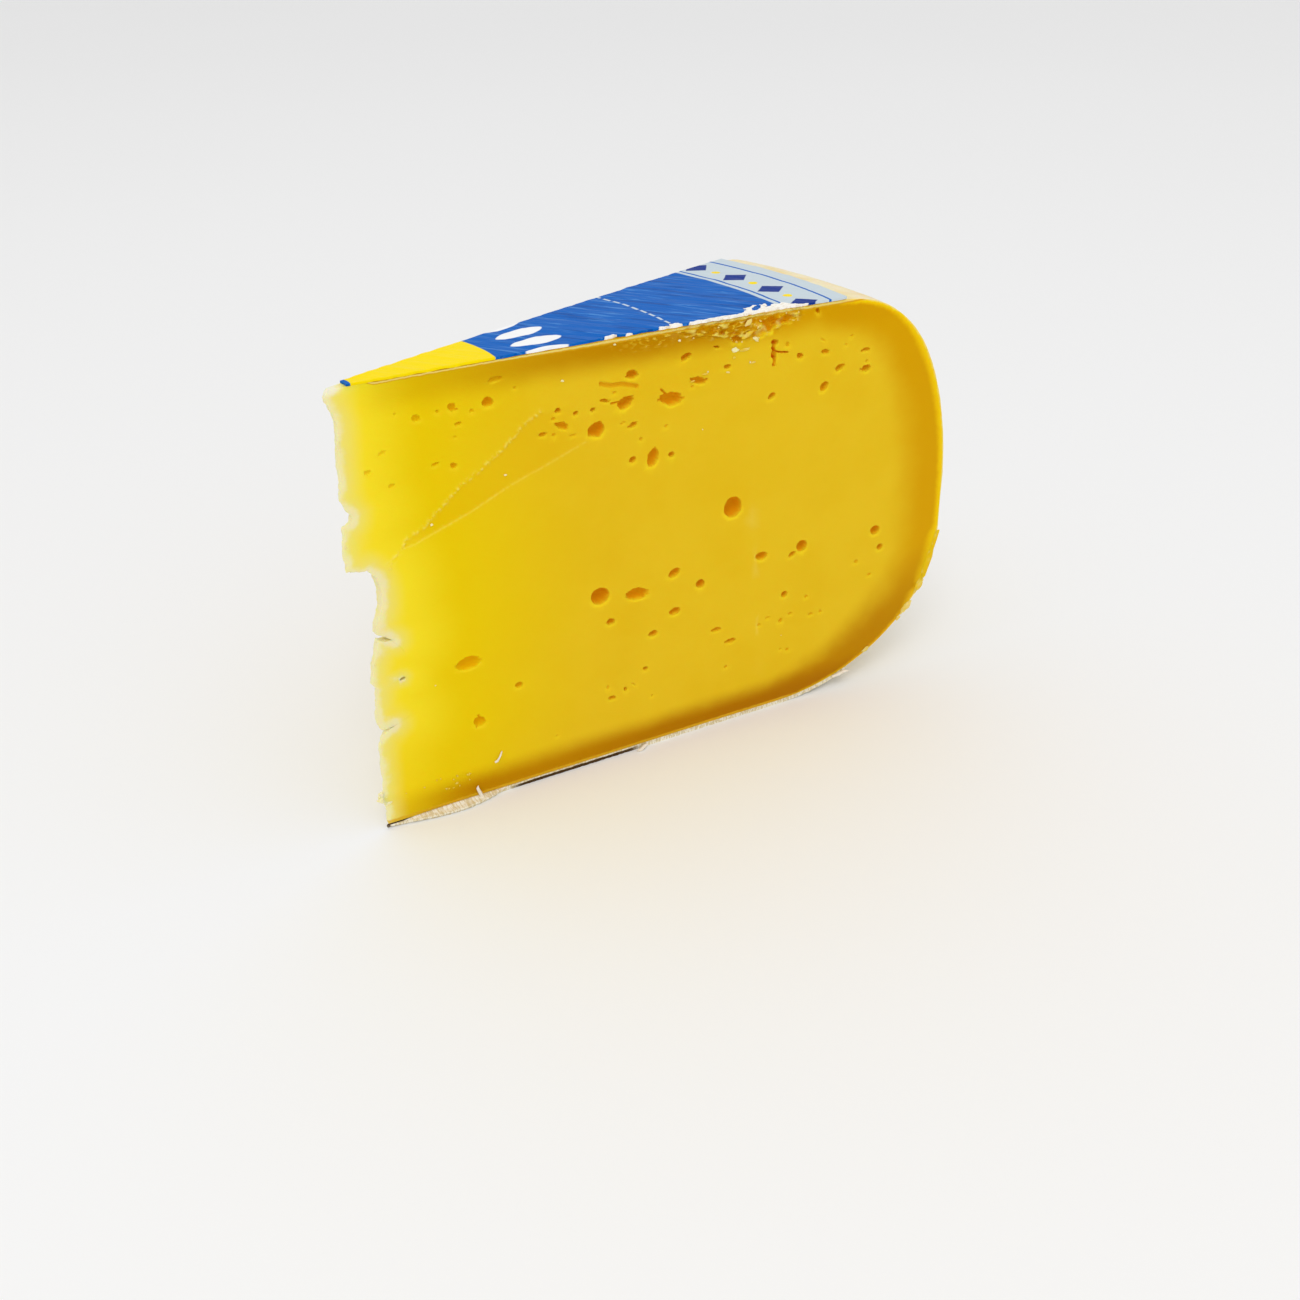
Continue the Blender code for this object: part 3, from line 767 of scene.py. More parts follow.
def mark_knife_lines(face):
    """The smeared ridge, the fine step and the strip between them."""
    near, across, up, spots = part_of(face, 5.0, 75.0, 68.0, 113.0)
    grains = roughness_at(spots, 0.9, 2, 3.0)
    smears = streak(across, up, ROUGH_LINE, 0.5) * np.clip(0.25 + 1.3 * grains, 0.0, 1.0)
    fading = 0.35 * streak(across, up, FADING_LINE, 0.4)
    fine = streak(across, up, SMOOTH_LINE, 0.28) * np.clip(0.6 + 0.8 * grains, 0.0, 1.0)
    over = smooth(up - line_height(SMOOTH_LINE, across), -0.1, 0.35)
    under = smooth(line_height(ROUGH_LINE, across) - up, -0.2, 0.8)
    strip = over * under * smooth(62.0 - across, 0.0, 12.0) * smooth(across, 8.0, 13.0)
    face["depth"][near] += 0.16 * strip - 0.26 * smears - 0.07 * fine + 0.10 * fading
    at_least(face, near, scuff=np.clip(0.55 * smears + 0.28 * fine, 0.0, 1.0), shade=strip)
    upright = streak(face["across"], face["up"], UPRIGHT_LINE, 0.35)
    face["depth"] += 0.05 * upright
    at_least(face, EVERYWHERE, scuff=0.22 * upright)


# %% The crumbled patch under the printed paper
PATCH_FLOOR = ((84.0, 96.0, 104.0, 112.0, 119.0), (113.0, 110.6, 108.8, 109.8, 111.8))


def crumble(face):
    """Break up the paste between two places under the top edge."""
    near, across, up, spots = part_of(face, 60.0, 124.0, 104.5, FAR)
    drift = roughness_at(spots, 4.5, 2, 9.0)
    lumps = roughness_at(spots, 2.6, 2, 21.0)
    strands = roughness_at(spots * np.array((0.4, 1.0, 1.0)), 1.1, 2, 33.0)
    patch = smooth(up - np.interp(across, *PATCH_FLOOR) - 1.2 * drift, -0.4, 1.1)
    patch *= smooth(across + 2.0 * drift, 82.0, 92.0) * smooth(119.5 + 1.5 * drift - across, 0.0, 1.2)
    combed = smooth(-across, -107.0, -101.0)
    thin = smooth(up, 112.4, 114.2) * smooth(across, 64.0, 80.0) * smooth(-across, -95.0, -88.0)
    broken = patch * (0.30 + 0.8 * combed * strands + (1.0 - combed) * (0.15 + 0.75 * lumps + 0.1 * strands))
    broken += 0.2 * thin * (0.4 + strands)
    pale = np.clip(-1.8 * (combed * strands + (1.0 - combed) * lumps) - 0.3, 0.0, 0.9) * patch
    face["depth"][near] = np.maximum(face["depth"][near] * (1.0 - patch), 0.0) + broken
    face["crumb"][near] = np.maximum(patch, 0.7 * thin)
    # The pit tint over the patch is painted shade, deepest in the crevices.
    at_least(face, near, scuff=pale, pit=np.clip(0.9 * broken - 0.2, 0.0, 0.7) * patch)
    for number, cavity in enumerate(PATCH_CAVITIES):
        carve_eye(face, cavity, 0.7 + 0.4 * min(cavity[2:4]), 500 + number, 0.22)


print("the relief has eyes, cracks, knife lines and a crumbled patch")

# %% [markdown]
# ## Pressing the relief into the mesh
#
# The relief moves points inwards along the cut face's normal. Points close behind the face move with it,
# less and less with depth, so that no skin overhangs. The depth is held back where the cheese is thin.

# %% Build the relief of both faces
WAVE_DEPTH = 0.14
BLEND_DEPTH = 5.0
SHALLOW_REACH = 60.0
ON_FACE = 0.004
TINTS = ("pit", "cleft", "lip", "scuff", "shade", "crumb")


def empty_relief(places, side):
    """Coordinates and zeroed fields for all points near one cut face."""
    across, up, out = side_coordinates(places, side)
    behind = (out > -BLEND_DEPTH) & (out < ON_FACE) & (across > 14.0)
    members = np.nonzero((np.abs(out) < ON_FACE) | behind)[0]
    face = {"members": members, "across": across[members], "up": up[members], "out": out[members]}
    return face | {name: np.zeros(len(members)) for name in ("aside", "rise", "depth", *TINTS)}


def press(places, side):
    """Move the points of one face by its relief, and return it."""
    face = empty_relief(places, side)
    for number, eye in enumerate(FRONT_EYES if side == -1 else BACK_EYES):
        ragged = 0.13 if eye[1] > 88.0 else 0.045
        shallow = min(1.0, 0.3 + 0.7 * eye[0] / SHALLOW_REACH)
        carve_eye(face, eye, shallow * (0.65 * min(eye[2:4]) + 0.35), 100 + number, ragged)
    if side == -1:
        for number, eye in enumerate(FAINT_EYES):
            carve_eye(face, eye, 0.45 * min(eye[2:4]), 300 + number, 0.15)
        for crack in CRACKS:
            carve_crack(face, *crack)
        mark_knife_lines(face)
        crumble(face)
    spots = spots_of(face["across"], face["up"], 50.0 * side)
    face["depth"] += WAVE_DEPTH * roughness_at(spots, 26.0, 2, 5.0) + 0.02 * roughness_at(spots, 3.0, 2, 8.0)
    thickness = 2.0 * (face["across"] + KNIFE_MISS) * math.sin(HALF_ANGLE)
    torn = to_line(face["across"], face["up"], TORN_ARRAY)
    face["depth"] += 0.22 * np.exp(-torn / 0.45) * (0.6 + 0.8 * roughness_at(spots, 1.2, 2, 14.0))
    face["depth"] = np.minimum(face["depth"], 0.40 * np.maximum(thickness, 0.1))
    held = np.clip(1.0 + face["out"] / BLEND_DEPTH, 0.0, 1.0)
    move = np.outer(-face["depth"] * held, np.array(OUTWARD[side]))
    move += np.outer(face["aside"] * held, np.array(ALONG[side]))
    move[:, 2] += face["rise"] * held
    places[face["members"]] += move * MM
    return face


tints = {name: np.zeros(len(places)) for name in TINTS}
for side in (-1, 1):
    face = press(places, side)
    for name in TINTS:
        at_least(tints, face["members"], **{name: face[name]})
set_places(cheese, places)
print("relief pressed into both faces; deepest tint", round(float(tints["pit"].max()), 2))

# %% [markdown]
# ## Where the paste is dark and where it glows
#
# Near the rind the paste has dried to amber. Near the torn edge it is so thin that light makes it lemon
# yellow and at last cream. Both depend on distances, which are kept on the points.

# %% Distances for the material
COAT_WIDTHS = ((8.0, 19.0, 24.0, 26.0, 28.0, 41.0, 44.0, 70.0, 98.0, 110.0),
               (0.7, 1.0, 2.0, 1.2, 2.4, 2.8, 1.5, 1.5, 1.7, 0.9))
NARROWS_HIGH = ((126.0, 150.0), (1.9, 1.0))
NARROWS_LOW = ((120.0, 140.0), (1.5, 1.0))
END_LINE = [point for point in PROFILE if point[0] > FOOT_RADIUS + 4.0 and point[1] < WHEEL_HEIGHT]

across, up, _ = side_coordinates(places, -1)
from_axis = np.hypot(places[:, 0] / MM - AXIS_X, places[:, 1] / MM)
from_end = to_line(from_axis, up, END_LINE)
narrowing = np.where(up > 60.0, np.interp(from_axis, *NARROWS_HIGH), np.interp(from_axis, *NARROWS_LOW))
from_hole = 1.6 * np.hypot(across - HOLE_PLACE[0], up - HOLE_PLACE[1])
tints |= {
    "from_top": np.clip(crown_height(np.minimum(from_axis, CROWN_RADIUS)) - up, 0.0, 40.0),
    "from_end": np.clip(from_end, 0.0, 40.0),
    "dried": np.clip(from_end * narrowing, 0.0, 40.0),
    "from_under": np.clip(up, 0.0, 40.0),
    "from_tear": np.clip(np.minimum(to_line(across, up, TORN_ARRAY), from_hole), 0.0, 160.0),
    "coat_width": np.interp(up, *COAT_WIDTHS),
}
for name, values in tints.items():
    set_attribute(cheese, name, values)
shade(cheese, 48.0)
print("numbers kept on", len(places), "points:", *tints)

# %% [markdown]
# ## A fan-shaped sheet
#
# Both papers have the wedge's plan: straight along the cuts and round at the far end. So a plain grid is
# added and its points are moved into rows that fan out from the knife line and follow those edges.

# %% Make a fan of paper
def fan_sheet(name, start, radius, cells_along, cells_across):
    """A flat sheet over the wedge's plan, out to a circle of this radius."""
    sheet = added(bpy.ops.mesh.primitive_grid_add, name, x_subdivisions=cells_along,
                  y_subdivisions=cells_across, size=2.0)
    grid = vertex_places(sheet)
    angle = grid[:, 1] * HALF_ANGLE
    nearest = start + KNIFE_MISS
    farthest = KNIFE_MISS * np.cos(angle) + np.sqrt(radius ** 2 - (KNIFE_MISS * np.sin(angle)) ** 2)
    distance = nearest + 0.5 * (grid[:, 0] + 1.0) * (farthest - nearest)
    grid[:, 0] = (KNIFE_X + distance * np.cos(angle)) * MM
    grid[:, 1] = distance * np.sin(angle) * MM
    grid[:, 2] = 0.0
    set_places(sheet, grid)
    return sheet


def refine_front(sheet, reach, low, high):
    """Subdivide the squares of a flat sheet that lie close to the front edge."""
    def near_front(face):
        along, _, out = side_coordinates(np.array(face.calc_center_median())[None, :], -1)
        return out[0] > -reach and low < along[0] < high

    with editing(sheet, "FACE"):
        pick_where(sheet, near_front)
        bpy.ops.mesh.subdivide(number_cuts=1)
        split_many_sided(sheet, lambda face: True)


print("a fan sheet helper is ready")

# %% [markdown]
# ## The printed paper on top
#
# The paper lies on the dome and was cut and torn with the wedge. Along the front, over the crumbled patch,
# its printed skin came off and left white fibres. The sheet follows the dome, has low wrinkles that run
# one way, and is pulled back where it tore. It gets its thickness last.

# %% Model the printed paper
LABEL_RADIUS = 132.5
LABEL_START = 5.8
PAPER_TOP = 0.60
PAPER_THICKNESS = 0.56
WRINKLE_HEIGHT = 0.15
WRINKLE_TURN = math.radians(-60.0)
BARE_WIDTHS = [
    (66.2, 0.0), (66.6, 0.9), (68.8, 0.7), (69.2, 0.0), (71.7, 0.0), (72.0, 0.5), (73.0, 0.5), (73.3, 0.0),
    (80.2, 0.0), (80.6, 0.8), (82.4, 0.6), (83.0, 0.1), (83.5, 1.3), (85.8, 1.2), (86.4, 0.0), (88.2, 0.0),
    (88.8, 0.9), (103.6, 0.9), (105.0, 2.8), (106.4, 4.2), (108.5, 5.2), (111.0, 3.6), (116.0, 3.1),
    (119.0, 0.5), (121.0, 0.0),
]
SCRAP_PLACE = (108.0, -2.6)

label = fan_sheet("label_paper", LABEL_START, LABEL_RADIUS, 104, 30)
refine_front(label, 7.0, 60.0, 122.0)
refine_front(label, 2.4, 63.0, 102.0)
refine_front(label, 6.0, 102.0, 121.0)
places = vertex_places(label)
along, _, out = side_coordinates(places, -1)
spots = spots_of(along, out)
edge_noise = roughness_at(spots_of(along), 1.7, 3, 2.0)
torn_span = smooth(along, 63.0, 68.0) * smooth(-along, -121.0, -118.5)
deep_span = smooth(along, 102.0, 108.0) * smooth(-along, -120.0, -112.0)
pull_back = torn_span * np.clip(0.25 + 0.4 * edge_noise + 0.3 * deep_span, 0.05, 1.0) + 0.06
pull_back *= np.clip(1.0 + out / 6.0, 0.0, 1.0)
bare_width = np.interp(along, *zip(*BARE_WIDTHS))
bare_width *= 1.0 + 0.7 * roughness_at(spots, 2.2, 2, 6.0)
scrap_along = 0.7 * (along - SCRAP_PLACE[0]) - 0.7 * (out - SCRAP_PLACE[1])
scrap_aside = 0.7 * (along - SCRAP_PLACE[0]) + 0.7 * (out - SCRAP_PLACE[1])
scrap = np.hypot(scrap_along / 2.3, scrap_aside / 0.9) < 1.0
bare = smooth(bare_width, -out - 0.1, -out + 0.15) * ~scrap
places -= np.outer(pull_back, np.array(OUTWARD[-1])) * MM
turned = spots.copy()
turned[:, 0] = places[:, 0] / MM * math.cos(WRINKLE_TURN) + places[:, 1] / MM * math.sin(WRINKLE_TURN)
turned[:, 1] = places[:, 1] / MM * math.cos(WRINKLE_TURN) - places[:, 0] / MM * math.sin(WRINKLE_TURN)
wrinkles = roughness_at(turned * np.array((0.16, 1.0, 1.0)), 2.6, 2, 4.0)
from_axis = np.hypot(places[:, 0] / MM - AXIS_X, places[:, 1] / MM)
lift = PAPER_TOP + WRINKLE_HEIGHT * wrinkles - 0.10 * bare
places[:, 2] = (UNDER_Z + crown_height(from_axis) + lift) * MM
set_places(label, places)
set_attribute(label, "bare", bare)
top_count = len(label.data.vertices)
apply_modifier(label, "SOLIDIFY", thickness=PAPER_THICKNESS * MM, offset=-1.0, material_offset_rim=1)
set_attribute(label, "layer", (np.arange(len(label.data.vertices)) < top_count).astype(float))
shade(label, 50.0)
print("the printed paper has", len(label.data.polygons), "faces")

# %% [markdown]
# ## The paper backing underneath
#
# The wedge stands on a fibrous paper of two plies. Near the thin edge it sticks out as a loose flap that
# slopes down, and farther on the lower ply is set back. The thin shadow under the cheese's edge there is
# painted: the lower ply's edge, and a strip of the upper ply under the tip, are coloured dark brown as
# shade.
# Each ply is a fan sheet with its own ragged edge, and the two are joined.

# %% Model the two plies
BACKING_RADIUS = 139.5
BACKING_START = -1.4
FLAP_LENGTH = 32.0
FLAP_DEPTH = 2.5


def foot_lift(reach):
    """How far the foot's ellipse has risen at a distance from the axis, in millimetres."""
    turn = np.clip((reach - FOOT_RADIUS) / (WHEEL_RADIUS - FOOT_RADIUS), 0.0, 0.99)
    return WIDEST_HEIGHT * (1.0 - np.sqrt(1.0 - turn ** 2))


def make_ply(name, radius, low, high, front_set_back, seed):
    """One ply of the backing, between two heights under the cheese."""
    ply = fan_sheet(name, BACKING_START, radius, 130, 22)
    refine_front(ply, 3.4, -3.0, 150.0)
    places = vertex_places(ply)
    along, _, out = side_coordinates(places, -1)
    near = np.clip(1.0 + out / 6.0, 0.0, 1.0) ** 1.5
    ragged = roughness_at(np.stack([along, out * 0.3, np.zeros(len(along))], 1), 1.5, 3, seed)
    part = np.clip((along + 1.0) / FLAP_LENGTH, 0.0, 1.0)
    flap = FLAP_DEPTH * np.sin(math.pi * part ** 1.25)
    outward = (flap - front_set_back(along) + 0.28 * ragged) * near
    places += np.outer(outward, np.array(OUTWARD[-1])) * MM
    from_axis = np.hypot(places[:, 0] / MM - AXIS_X, places[:, 1] / MM)
    _, _, out = side_coordinates(places, -1)
    slope = -0.42 * np.clip(out + 0.3, 0.0, 3.0) - 0.6 * smooth(-along, -6.5, -1.0) * near
    places[:, 2] = (UNDER_Z + foot_lift(from_axis) + np.maximum(high + slope, low + 0.12)) * MM
    places[:, 2] += 0.05 * ragged * near * MM
    set_places(ply, places)
    # Painted shadow: a dark strip under the tip on the upper ply, and along the lower ply's edge between the
    # flap and the middle, stands in for shade in the gap under the cheese.
    tip_gap_shadow = smooth(-along, -7.0, -5.0) * smooth(-out, 0.0, 0.15) * (low > -1.0)
    lower_ply_gap_shadow = smooth(along, 31.0, 36.0) * smooth(-along, -72.0, -68.0) * (low < -1.0)
    set_attribute(ply, "painted_gap_shadow", lower_ply_gap_shadow + tip_gap_shadow)
    apply_modifier(ply, "SOLIDIFY", thickness=(high - low) * MM, offset=-1.0)
    solid = vertex_places(ply)
    solid[:, 2] = np.maximum(solid[:, 2], 0.0)
    set_places(ply, solid)
    return ply


def upper_set_back(along):
    """The upper ply follows the cheese's edge."""
    return 0.10 + 0.25 * smooth(along, 34.0, 40.0)


def lower_set_back(along):
    """The lower ply is set back between the flap and the middle."""
    middle = smooth(along, 30.0, 38.0) * smooth(-along, -74.0, -68.0)
    return 0.30 - 0.1 * middle + 0.2 * smooth(along, 74.0, 90.0)


def join_all(name, parts, degrees):
    """Join several objects into one piece and shade it."""
    only(*parts)
    bpy.ops.object.join()
    parts[0].name = name
    shade(parts[0], degrees)
    print(name, "has", len(parts[0].data.polygons), "faces from", len(parts), "parts")
    return parts[0]


backing = join_all("backing_sheet", [
    make_ply("upper_ply", BACKING_RADIUS, -0.62, -0.04, upper_set_back, 4.0),
    make_ply("lower_ply", BACKING_RADIUS - 1.0, -1.50, -0.66, lower_set_back, 17.0),
], 45.0)

# %% [markdown]
# ## Crumbs and shreds
#
# Cutting leaves crumbs on the torn edge and in the crumbled patch, and shreds of paper on the backing. A
# crumb is a small ball with an uneven surface. A shred is a ring that is dragged along a line of points,
# narrowing as it goes.

# %% Crumbs of cheese
PATCH_CRUMBS = 16
EDGE_CRUMBS = 34
FOOT_GRAINS = 16
LOOSE_CRUMBS = [
    (-1.2, 7.9, 1.6), (-0.3, 6.5, 1.2), (-1.5, 9.3, 0.8), (20.3, 79.9, 0.32), (39.3, 88.1, 0.3),
    (91.4, 88.7, 0.22), (104.8, 103.5, 0.3), (93.0, 103.2, 0.26), (16.0, 37.0, 0.25), (116.2, 22.0, 0.22),
    (120.0, 13.0, 0.24), (68.5, 114.2, 0.35), (85.3, 112.2, 0.4), (55.0, 108.0, 0.4),
]
FLAKES = [
    (166.2, 34.0, 15.0, 1.8, 75, 0.0), (163.2, 25.4, 4.6, 1.9, 58, 0.1), (159.2, 18.9, 4.4, 1.7, 50, 0.35),
    (156.8, 16.1, 1.7, 1.1, 45, 0.3), (145.8, 8.6, 2.4, 1.2, 34, 0.3), (100.5, 107.2, 1.9, 1.2, -15, 0.9),
    (103.1, 106.9, 2.8, 0.7, 5, 0.2), (106.4, 109.0, 1.7, 0.9, -30, 0.7), (103.9, 110.4, 2.6, 1.0, 20, 0.15),
    (104.3, 113.4, 1.9, 0.9, 35, 0.4), (105.5, 103.3, 1.8, 0.5, 5, 0.3), (98.5, 102.1, 1.1, 0.4, -10, 0.5),
    (92.2, 102.8, 1.6, 0.4, 0, 0.2), (100.2, 105.4, 0.8, 0.6, 40, 0.2), (88.6, 101.6, 1.3, 0.4, 15, 0.2),
]
FLAKE_THICKNESS = 0.28
crumb_parts = []


def add_crumb(place, size, seed, tilt=0.0, pale=0.4):
    """One uneven crumb, sized along the front face, out of it and up it, with its place in its mesh."""
    crumb = added(bpy.ops.mesh.primitive_ico_sphere_add, "crumb", subdivisions=3 if max(size) > 1.5 else 2,
                  radius=MM, location=(0.0, 0.0, 0.0))
    shape = vertex_places(crumb)
    swell = 1.0 + 0.8 * roughness_at(shape / MM, 0.8, 2, seed * 3.7)
    along, out, up = (shape * swell[:, None] * np.array(size)).T
    turn = math.radians(tilt)
    spread = np.outer(along * math.cos(turn) - up * math.sin(turn), np.array(ALONG[-1]))
    spread += np.outer(out, np.array(OUTWARD[-1]))
    spread[:, 2] += along * math.sin(turn) + up * math.cos(turn)
    set_places(crumb, spread + np.array(place))
    set_attribute(crumb, "pale", np.full(len(shape), pale))
    crumb_parts.append(crumb)


draw = random.Random(23)
for number in range(PATCH_CRUMBS):
    spot = face_point(draw.gauss(102.0, 6.0), 108.6 + 6.0 * draw.random(), draw.uniform(-0.45, 0.0))
    add_crumb(spot, [draw.uniform(0.12, 0.34) for _ in range(3)], number + 1)
for number in range(EDGE_CRUMBS):
    start = TORN[draw.randrange(8, len(TORN) - 6)]
    spot = face_point(start.x + draw.uniform(0.0, 0.7), start.y, draw.uniform(-1.0, 0.0))
    add_crumb(spot, [draw.uniform(0.12, 0.3) for _ in range(3)], number + 90, pale=0.8)
for number in range(FOOT_GRAINS):
    spot = face_point(draw.uniform(3.5, 22.0), draw.uniform(4.6, 9.4), -0.05)
    add_crumb(spot, [draw.uniform(0.14, 0.34) for _ in range(3)], number + 150, pale=0.1)
for number, (distance, height, size) in enumerate(LOOSE_CRUMBS):
    spot = face_point(distance, height, -0.1 if distance > 0.0 else -0.5)
    add_crumb(spot, (size, min(size, 0.45), 0.85 * size), number + 200, pale=1.3)
for number, (distance, height, width, tall, tilt, pale) in enumerate(FLAKES):
    size = (0.5 * width, FLAKE_THICKNESS, 0.5 * tall)
    add_crumb(face_point(distance, height), size, number + 300, tilt, pale)
crumbs = join_all("cheese_crumbs", crumb_parts, 60.0)

# %% Shreds of paper
SHREDS = {
    "tab": [(24.4, -0.6, 0.3, 0.42), (24.0, 0.6, 0.35, 0.5), (23.6, 1.9, 0.3, 0.46), (23.3, 2.9, 0.5, 0.4),
            (23.5, 3.5, 0.6, 0.16)],
    "curl": [(29.0, 9.0, 0.15, 0.30), (29.6, 9.4, 0.4, 0.34), (30.2, 10.3, 0.45, 0.24),
             (30.6, 11.0, 0.4, 0.3), (31.1, 11.8, 0.2, 0.18)],
    "loose_end": [(73.2, -0.6, 0.1, 0.3), (72.0, -0.7, 0.6, 0.5), (70.9, -1.0, 1.1, 0.5),
                  (70.0, -1.1, 1.2, 0.42), (69.6, -0.7, 1.0, 0.2)],
    "frayed_end": [(134.4, 2.4, 0.0, 0.4), (136.4, 2.9, 0.4, 0.5), (138.2, 3.6, 0.7, 0.5),
                   (139.4, 3.5, 1.0, 0.2)],
}


def drag_ring(name, stations):
    """A shred through stations of distance, height, way out and width, drawn with a small ring."""
    points = [face_point(*station[:3]) for station in stations]
    widths = [station[3] for station in stations]
    turn = (points[1] - points[0]).normalized().to_track_quat("Z", "Y").to_euler()
    shred = added(bpy.ops.mesh.primitive_circle_add, name, vertices=8, radius=widths[0] * MM,
                  fill_type="NGON", location=points[0], rotation=turn)
    with editing(shred):
        for before, after, width, wider in zip(points, points[1:], widths[1:], widths):
            extrude(after - before)
            bpy.ops.transform.resize(value=[width / wider] * 3, center_override=after)
        face_outward()
    bpy.ops.object.transform_apply(location=True, rotation=True, scale=True)
    return shred


shreds = join_all("paper_shreds", [drag_ring(name, stations) for name, stations in SHREDS.items()], 60.0)
# %% [markdown]
# ## Helpers for materials
#
# A material is a network of nodes. Here each node's output is wrapped so that it can be added and
# multiplied like a number, and a material reads like a recipe: a base colour and a list of tints, each
# with its share. Colours are given as they look on a screen, and turned into light values.

# %% Node helpers
def light_colour(red, green, blue):
    """A screen colour from 0 to 255 as linear light, with full opacity."""
    shares = [part / 255.0 for part in (red, green, blue)]
    linear = [part / 12.92 if part <= 0.04045 else ((part + 0.055) / 1.055) ** 2.4 for part in shares]
    return (*linear, 1.0)


class Field:
    """A number, colour or place that varies over a surface: one output of one node."""

    def __init__(self, socket):
        self.socket = socket

    def __add__(self, other):
        return calc("ADD", self, other)

    def __sub__(self, other):
        return calc("SUBTRACT", self, other)

    def __mul__(self, other):
        return calc("MULTIPLY", self, other)

    def __truediv__(self, other):
        return calc("DIVIDE", self, other)

    def __pow__(self, other):
        return calc("POWER", self, other)


def feed(sockets, feeds):
    """Give sockets their values, or link them to fields of the open tree."""
    for name, value in feeds.items():
        if isinstance(value, Field):
            tree.links.new(value.socket, sockets[name])
        else:
            sockets[name].default_value = value


def node(kind, output, feeds, **settings):
    """Add a node to the open tree, set and feed it, and give back one output."""
    made = tree.nodes.new("ShaderNode" + kind)
    for name, value in settings.items():
        setattr(made, name, value)
    feed(made.inputs, feeds)
    return Field(made.outputs[output])


def calc(operation, first, second=0.0):
    """One sum."""
    return node("Math", 0, {0: first, 1: second}, operation=operation)


def ease(value, start, end, low=0.0, high=1.0):
    """Go softly from low to high while a value goes from start to end."""
    feeds = {"Value": value, "From Min": start, "From Max": end, "To Min": low, "To Max": high}
    return node("MapRange", "Result", feeds, interpolation_type="SMOOTHSTEP")


def as_light(colour):
    """A screen colour as light, and a field as it is."""
    return colour if isinstance(colour, Field) else light_colour(*colour)


def blend(share, first, second):
    """Mix two colours."""
    return node("Mix", 2, {0: share, 6: as_light(first), 7: as_light(second)}, data_type="RGBA")


def layered(colour, tints):
    """Lay tints over a colour, each given as its share and its colour."""
    for share, tint in tints:
        colour = blend(share, colour, tint)
    return colour


def kept(name):
    """A number kept on the mesh's points."""
    return node("Attribute", "Fac", {}, attribute_name=name)


def axis_of(place, axis):
    """One coordinate of a place."""
    return node("SeparateXYZ", axis, {"Vector": place})


def mapped(place, scale, turn=0.0, kind="POINT"):
    """Turn a place and scale it: POINT makes a pattern finer along an axis, TEXTURE coarser."""
    feeds = {"Vector": place, "Scale": scale, "Rotation": (0.0, 0.0, turn)}
    return node("Mapping", "Vector", feeds, vector_type=kind)


def noise_at(place, scale, detail, roughness):
    """Noise from 0 to 1."""
    feeds = {"Vector": place, "Scale": scale, "Detail": detail, "Roughness": roughness}
    return node("TexNoise", "Fac", feeds)


def cloud(place, size, detail=3.0, roughness=0.55):
    """Noise with features about one size wide, in millimetres."""
    return noise_at(place, 1.0 / (size * MM), detail, roughness)


def new_material(name):
    """Open a new material. Gives it, its shader's inputs and the place on the piece."""
    global tree
    material = bpy.data.materials.new(name)
    material.use_nodes = True
    tree = material.node_tree
    return material, tree.nodes["Principled BSDF"].inputs, node("TexCoord", "Object", {})


def waxy(weight, radius, depth):
    """What makes light wander under a surface, with the depth in metres."""
    return {"Subsurface Weight": weight, "Subsurface Radius": radius, "Subsurface Scale": depth}


print("node helpers are ready")

# %% [markdown]
# ## Shared effects as node groups
#
# Mottling shifts a colour in soft clouds, which keeps a natural surface from looking like plastic. Fine
# grain is a bump of a coarse and a fine noise. Each is built once, and every material sets its values.

# %% Build the mottle and grain groups
SOCKETS = {float: "NodeSocketFloat", tuple: "NodeSocketColor", type(None): "NodeSocketVector"}


def new_group(name, inputs, output, kind):
    """Open a new node group with inputs for numbers, colours and places, and one output."""
    global tree
    tree = bpy.data.node_groups.new(name, "ShaderNodeTree")
    for socket, value in inputs.items():
        made = tree.interface.new_socket(name=socket, in_out="INPUT", socket_type=SOCKETS[type(value)])
        if value is not None:
            made.default_value = value
    tree.interface.new_socket(name=output, in_out="OUTPUT", socket_type=kind)
    outputs = tree.nodes.new("NodeGroupInput").outputs
    return tree, {name: Field(outputs[name]) for name in inputs}, tree.nodes.new("NodeGroupOutput").inputs


mottle_group, given, result = new_group("mottle", {
    "Colour": (1.0, 1.0, 1.0, 1.0), "Dark": (0.5, 0.5, 0.5, 1.0), "Place": None, "Size": 10.0,
    "Strength": 0.3,
}, "Colour", SOCKETS[tuple])
soft = noise_at(given["Place"], calc("DIVIDE", 1.0 / MM, given["Size"]), 4.0, 0.6)
cloudy = ease(soft, 0.35, 0.7) * given["Strength"]
feed(result, {"Colour": blend(cloudy, given["Colour"], given["Dark"])})

grain_group, given, result = new_group("fine_grain", {
    "Place": None, "Size": 1.0, "Height": 0.1, "Extra Height": 0.0,
}, "Normal", SOCKETS[type(None)])
scale = calc("DIVIDE", 1.0 / MM, given["Size"])
grains = noise_at(given["Place"], scale, 2.0, 0.5) + noise_at(given["Place"], scale * 4.3, 3.0, 0.6) * 0.4
height = (grains * given["Height"] + given["Extra Height"]) * MM
feed(result, {"Normal": node("Bump", "Normal", {"Height": height, "Distance": 1.0, "Strength": 1.0})})


def mottled(colour, dark, place, size, strength):
    """A colour that is darker in soft clouds."""
    feeds = {"Colour": as_light(colour), "Dark": as_light(dark), "Place": place, "Size": size,
             "Strength": strength}
    return node("Group", "Colour", feeds, node_tree=mottle_group)


def grained(place, size, height, extra=0.0):
    """A normal with fine grain, and extra height in millimetres."""
    feeds = {"Place": place, "Size": size, "Height": height, "Extra Height": extra}
    return node("Group", "Normal", feeds, node_tree=grain_group)


print("groups:", mottle_group.name, grain_group.name)
